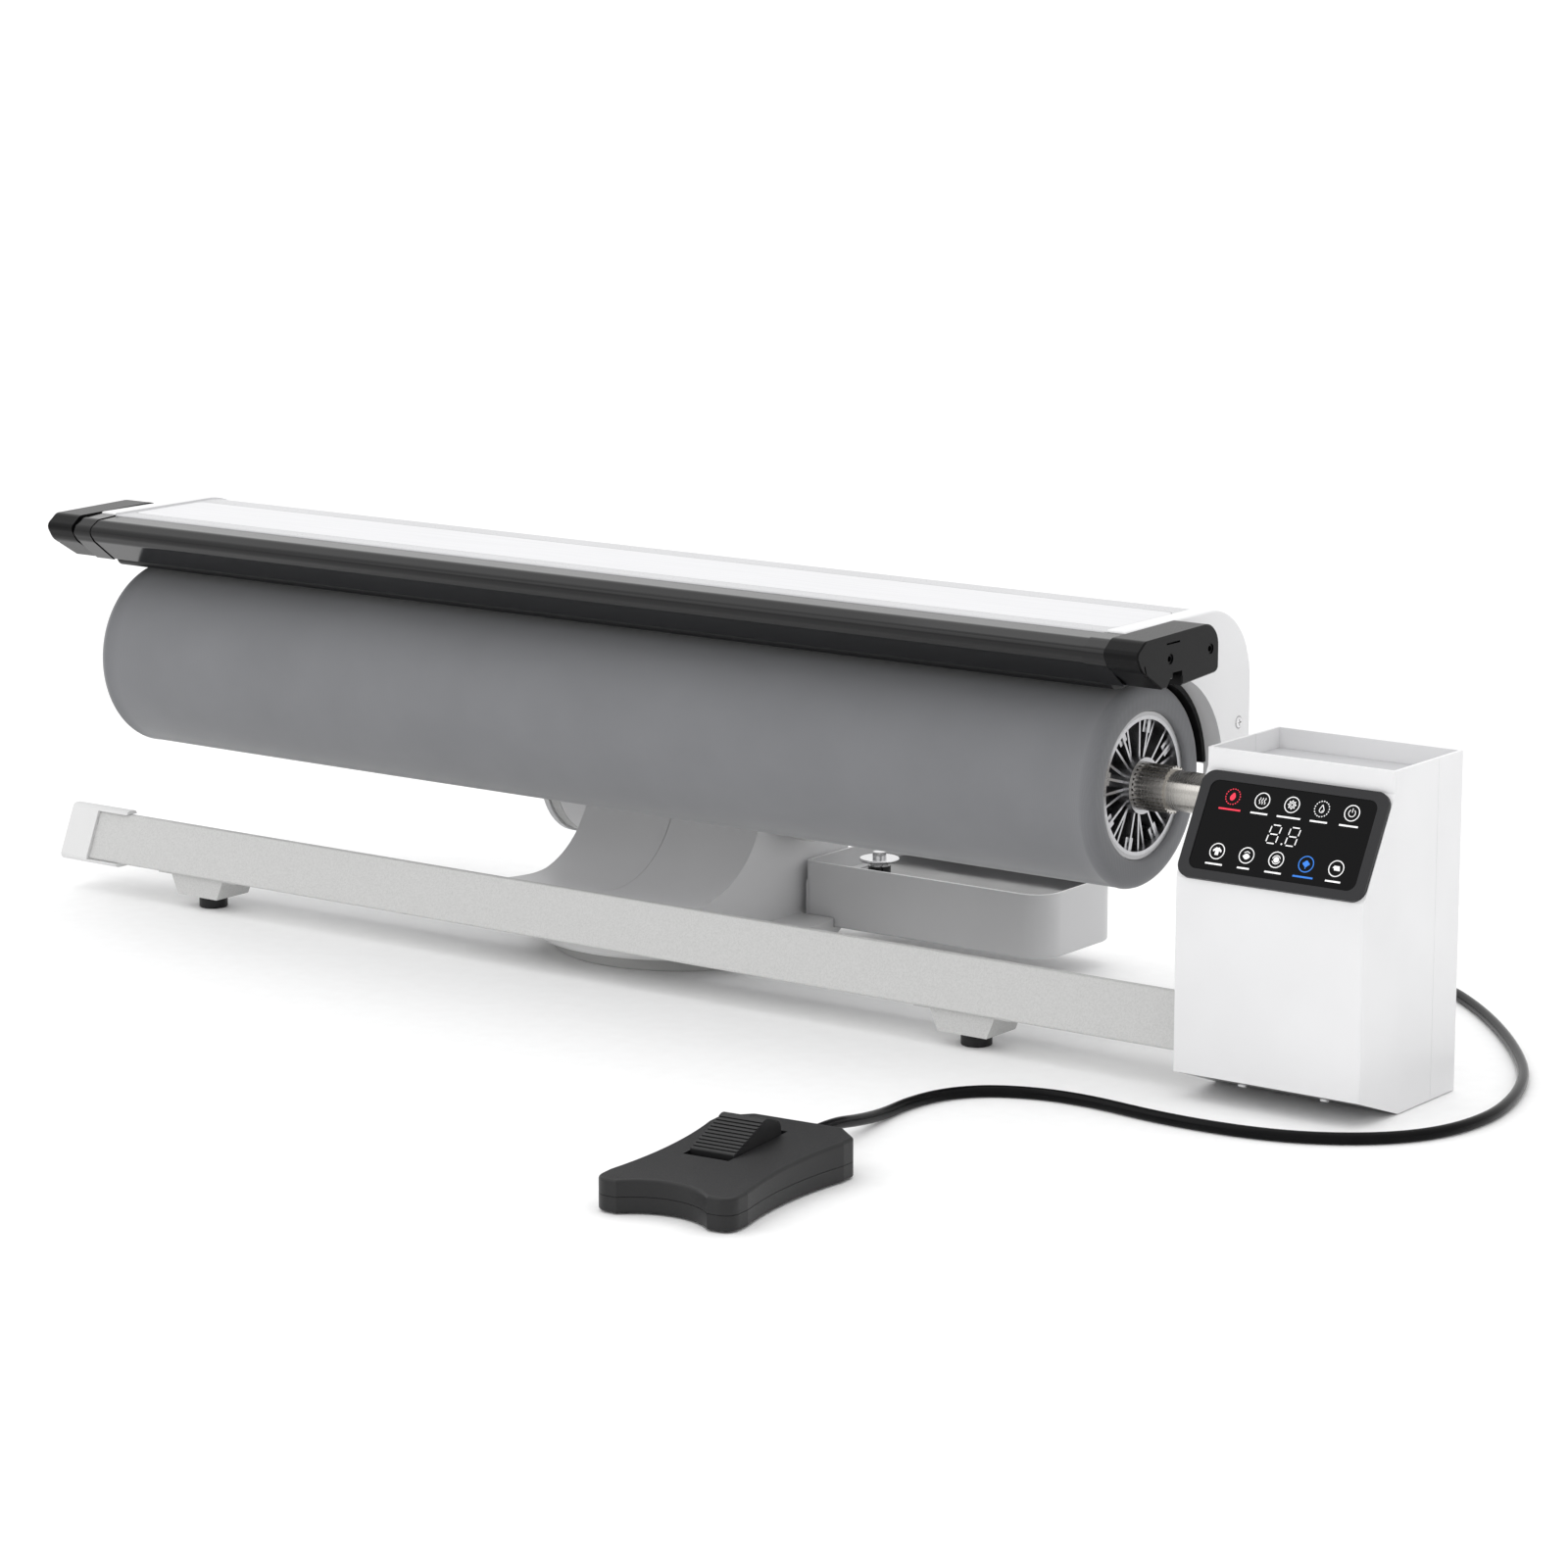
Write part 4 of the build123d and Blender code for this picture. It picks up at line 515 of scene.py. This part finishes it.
def makeRollerCover():
    low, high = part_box("roller_padding")
    tubeLow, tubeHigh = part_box("roller_core_tube")
    centreZ = (low.z + high.z) / 2
    radius = (high.z - low.z) / 2
    inner = (tubeHigh.z - tubeLow.z) / 2 + rollerPlan["boreClearance"]
    end = high.x
    edge = rollerPlan["edgeRadius"]
    profile = [(end - inward, inner + outward) for inward, outward in rollerPlan["lip"]]
    profile.append((end, (inner + radius - edge) / 2))
    arcSteps = rollerPlan["arcSteps"]
    for i in range(arcSteps + 1):
        a = math.pi / 2 * i / arcSteps
        profile.append((end - edge + edge * math.cos(a), radius - edge + edge * math.sin(a)))
    straight = rollerPlan["lengthSteps"]
    for i in range(1, straight):
        profile.append((end - edge - (2 * (end - edge)) * i / straight, radius))
    right = profile[:len(rollerPlan["lip"]) + 1 + arcSteps + 1]
    profile += [(-x, r) for x, r in reversed(right)]
    rings = rollerPlan["ringSteps"]
    seam = math.radians(rollerPlan["seamAngle"])
    mesh = bpy.data.meshes.new("rollerCover")
    builder = bmesh.new()
    grid = []
    for x, r in profile:
        row = []
        for j in range(rings):
            a = 2 * math.pi * j / rings
            slack = rollerPlan["slack"] * (0.5 + 0.5 * math.sin(3 * a + 9 * x)) if r > radius - edge else 0
            away = abs((a - seam + math.pi) % (2 * math.pi) - math.pi) * radius
            fold = rollerPlan["seamHeight"] * max(0.0, 1 - (away / rollerPlan["seamWidth"]) ** 2)
            reach = r - slack
            if r >= radius - 1e-6:
                reach = reach - rollerPlan["seamHeight"] + fold
            row.append(builder.verts.new((x, reach * math.cos(a), centreZ + reach * math.sin(a))))
        grid.append(row)
    grid.append(grid[0])
    for first, second in zip(grid, grid[1:]):
        for j in range(rings):
            k = (j + 1) % rings
            builder.faces.new((first[j], first[k], second[k], second[j]))
    bmesh.ops.recalc_face_normals(builder, faces=builder.faces)
    builder.to_mesh(mesh)
    builder.free()
    cover = newPiece("rollerCover", mesh, "roller", "rollerCover")
    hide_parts("roller_padding")


makeRollerCover()
print("roller cover")


# marks on the touch panel

panelPlan = {
    "columnStep": 0.0209, "columnShift": 0.0006,     # metres, across the glass
    "topRow": 0.0195, "bottomRow": -0.0162,          # up the slope from the middle
    "ringRadius": 0.0050, "lineWidth": 0.00062,
    "dashDrop": 0.0083, "dashHeight": 0.0011,        # the lit dash under each key
    "inkThickness": 0.00004,
    "digitHeight": 0.0118, "digitWidth": 0.0068, "digitSlant": 0.12,
    "digitSpots": [(-0.0060, -0.0005), (0.0073, -0.0005)],
    "barWidth": 0.00075, "barGap": 0.0009,           # strokes of the seven-segment digits
    "pointSpot": (0.0010, -0.0060), "pointRadius": 0.0006,
}


def glassFrame():
    # middle, direction up the slope and outward normal of the glass
    mesh = nodes["panel_glass"].data
    front = [f for f in mesh.polygons if f.normal.y < -0.5]
    outward = max(front, key=lambda f: f.area).normal.copy()
    upSlope = Vector((0, outward.z, -outward.y)).normalized()
    level = max(v.co.dot(outward) for v in mesh.vertices)
    spots = [v.co for v in mesh.vertices if v.co.dot(outward) > level - 1e-5]
    middle = Vector(((max(p.x for p in spots) + min(p.x for p in spots)) / 2, 0, 0))
    rises = [p.dot(upSlope) for p in spots]
    middle += upSlope * ((max(rises) + min(rises)) / 2) + outward * level
    return middle, upSlope, outward


def inkFace(builder, points):
    # a flat mark, as thin as printed ink, from a ring of (across, up) points
    thickness = panelPlan["inkThickness"]
    low = [builder.verts.new((x, y, 0)) for x, y in points]
    high = [builder.verts.new((x, y, thickness)) for x, y in points]
    builder.faces.new(high)
    builder.faces.new(low[::-1])
    for i in range(len(points)):
        k = (i + 1) % len(points)
        builder.faces.new((low[i], low[k], high[k], high[i]))


def inkStroke(builder, points, width):
    # a drawn line of even width through the points
    for (ax, ay), (bx, by) in zip(points, points[1:]):
        length = math.hypot(bx - ax, by - ay)
        nx, ny = -(by - ay) / length * width / 2, (bx - ax) / length * width / 2
        inkFace(builder, [(ax + nx, ay + ny), (ax - nx, ay - ny), (bx - nx, by - ny), (bx + nx, by + ny)])


def inkArc(builder, cx, cy, radius, width, start=0.0, sweep=360.0, steps=40):
    inner, outer = radius - width / 2, radius + width / 2
    for i in range(steps):
        a = math.radians(start + sweep * i / steps)
        b = math.radians(start + sweep * (i + 1) / steps)
        inkFace(builder, [(cx + inner * math.cos(a), cy + inner * math.sin(a)),
                          (cx + outer * math.cos(a), cy + outer * math.sin(a)),
                          (cx + outer * math.cos(b), cy + outer * math.sin(b)),
                          (cx + inner * math.cos(b), cy + inner * math.sin(b))])


def inkDot(builder, cx, cy, radius, sides=14):
    turns = [2 * math.pi * i / sides for i in range(sides)]
    inkFace(builder, [(cx + radius * math.cos(a), cy + radius * math.sin(a)) for a in turns])


def inkDottedRing(builder, cx, cy, radius, width):
    count = 18
    for i in range(count):
        inkArc(builder, cx, cy, radius, width, 360 * i / count, 360 / count * 0.55, 3)


# the key drawings share one set of arguments: mesh, middle across and up, and line width, in metres

def drawFlame(builder, cx, cy, w):
    points = []
    for i in range(24):
        a = 2 * math.pi * i / 24
        up = math.sin(a)
        wide = 0.0019 * math.cos(a) * (1 - 0.45 * max(0.0, up))
        points.append((cx + wide + 0.0004 * up, cy + 0.0026 * up))
    inkFace(builder, points)


def drawSteam(builder, cx, cy, w):
    for dx in (-0.0018, 0.0, 0.0018):
        line = [(cx + dx + 0.0005 * math.sin(t * 1.5), cy - 0.0022 + t * 0.0007) for t in range(7)]
        inkStroke(builder, line, w)


def drawGear(builder, cx, cy, w):
    inkArc(builder, cx, cy, 0.0011, w)
    inkArc(builder, cx, cy, 0.0021, w)
    for i in range(8):
        a = math.pi / 4 * i
        inkStroke(builder, [(cx + 0.0021 * math.cos(a), cy + 0.0021 * math.sin(a)),
                            (cx + 0.0030 * math.cos(a), cy + 0.0030 * math.sin(a))], w * 1.3)


def drawDrop(builder, cx, cy, w):
    inkArc(builder, cx, cy - 0.0007, 0.0016, w, -205, 230, 20)
    inkStroke(builder, [(cx - 0.00145, cy - 0.0001), (cx, cy + 0.0027), (cx + 0.00145, cy - 0.0001)], w)
    inkArc(builder, cx, cy - 0.0008, 0.0007, w * 0.8, -100, 110, 8)


def drawPower(builder, cx, cy, w):
    inkArc(builder, cx, cy, 0.0023, w, 125, 290, 30)
    inkStroke(builder, [(cx, cy + 0.0004), (cx, cy + 0.0031)], w)


def drawShirt(builder, cx, cy, w):
    inkFace(builder, [(cx - 0.0012, cy - 0.0025), (cx + 0.0012, cy - 0.0025), (cx + 0.0012, cy + 0.0004),
                      (cx + 0.0027, cy - 0.0006), (cx + 0.0031, cy + 0.0006), (cx + 0.0008, cy + 0.0026),
                      (cx, cy + 0.0020), (cx - 0.0008, cy + 0.0026), (cx - 0.0031, cy + 0.0006),
                      (cx - 0.0027, cy - 0.0006), (cx - 0.0012, cy + 0.0004)])


def drawLeaf(builder, cx, cy, w):
    points = [(cx - 0.0026 + 0.0052 * i / 12, cy - 0.0007 + 0.0019 * math.sin(math.pi * i / 12))
              for i in range(13)]
    points += [(cx + 0.0026 - 0.0052 * i / 12, cy - 0.0007 - 0.0019 * math.sin(math.pi * i / 12))
               for i in range(1, 12)]
    inkFace(builder, points)
    inkStroke(builder, [(cx - 0.0020, cy + 0.0016), (cx, cy + 0.0026), (cx + 0.0020, cy + 0.0016)], w)


def drawYarn(builder, cx, cy, w):
    inkDot(builder, cx, cy, 0.0019, 24)
    inkArc(builder, cx, cy, 0.0027, w, 200, 150, 16)
    inkArc(builder, cx, cy, 0.0027, w, 20, 150, 16)


def drawBoll(builder, cx, cy, w):
    # four lobes, a little flattened
    points = []
    for i in range(36):
        a = 2 * math.pi * i / 36
        r = 0.0022 * (1 + 0.14 * math.cos(4 * a))
        points.append((cx + r * math.cos(a), cy + 0.0002 + r * math.sin(a) * 0.86))
    inkFace(builder, points)
    inkStroke(builder, [(cx, cy - 0.0018), (cx, cy - 0.0030)], w)


def drawCloth(builder, cx, cy, w):
    inkFace(builder, [(cx - 0.0027, cy + 0.0002), (cx - 0.0016, cy + 0.0017), (cx + 0.0020, cy + 0.0017),
                      (cx + 0.0028, cy - 0.0013), (cx - 0.0012, cy - 0.0013), (cx - 0.0016, cy + 0.0002)])


keyMarks = [  # row, column, ink, ring, drawing, dash length in metres
    ("topRow", -2, "inkRed", "dotted", drawFlame, 0.0155),
    ("topRow", -1, "inkWhite", "plain", drawSteam, 0.0120),
    ("topRow", 0, "inkWhite", "plain", drawGear, 0.0165),
    ("topRow", 1, "inkWhite", "dotted", drawDrop, 0.0120),
    ("topRow", 2, "inkWhite", "plain", drawPower, 0.0130),
    ("bottomRow", -2, "inkWhite", "plain", drawShirt, 0.0120),
    ("bottomRow", -1, "inkWhite", "plain", drawLeaf, 0.0085),
    ("bottomRow", 0, "inkWhite", "plain", drawYarn, 0.0115),
    ("bottomRow", 1, "inkBlue", "plain", drawBoll, 0.0140),
    ("bottomRow", 2, "inkWhite", "plain", drawCloth, 0.0105),
]


def drawDigitEight(builder, cx, cy):
    half, wide, lean = panelPlan["digitHeight"] / 2, panelPlan["digitWidth"] / 2, panelPlan["digitSlant"]
    width, gap = panelPlan["barWidth"], panelPlan["barGap"]
    bars = [((-wide + gap, half), (wide - gap, half)), ((-wide + gap, 0), (wide - gap, 0)),
            ((-wide + gap, -half), (wide - gap, -half))]
    for side in (-wide, wide):
        bars += [((side, gap), (side, half - gap)), ((side, -half + gap), (side, -gap))]
    for start, end in bars:
        inkStroke(builder, [(cx + x + lean * y, cy + y) for x, y in (start, end)], width)


def makePanelMarks():
    middle, upSlope, outward = glassFrame()
    turn = Matrix((Vector((1, 0, 0)), upSlope, outward)).transposed().to_4x4()
    place = Matrix.Translation(middle) @ turn
    inks = {name: bmesh.new() for name in ("inkWhite", "inkRed", "inkBlue")}
    width = panelPlan["lineWidth"]
    for row, column, ink, ring, draw, dash in keyMarks:
        cx = panelPlan["columnShift"] + column * panelPlan["columnStep"]
        cy = panelPlan[row]
        if ring == "dotted":
            inkDottedRing(inks[ink], cx, cy, panelPlan["ringRadius"], width)
        else:
            inkArc(inks[ink], cx, cy, panelPlan["ringRadius"], width)
        draw(inks[ink], cx, cy, width * 0.8)
        drop = cy - panelPlan["dashDrop"]
        inkStroke(inks[ink], [(cx - dash / 2, drop), (cx + dash / 2, drop)], panelPlan["dashHeight"])
    for cx, cy in panelPlan["digitSpots"]:
        drawDigitEight(inks["inkWhite"], cx, cy)
    inkDot(inks["inkWhite"], *panelPlan["pointSpot"], panelPlan["pointRadius"])
    for ink, builder in inks.items():
        bmesh.ops.recalc_face_normals(builder, faces=builder.faces)
        mesh = bpy.data.meshes.new("panel" + ink[3:] + "Marks")
        builder.to_mesh(mesh)
        builder.free()
        mesh.transform(place)
        newPiece(mesh.name, mesh, "root", ink, smooth=False)


makePanelMarks()
print("panel marks")
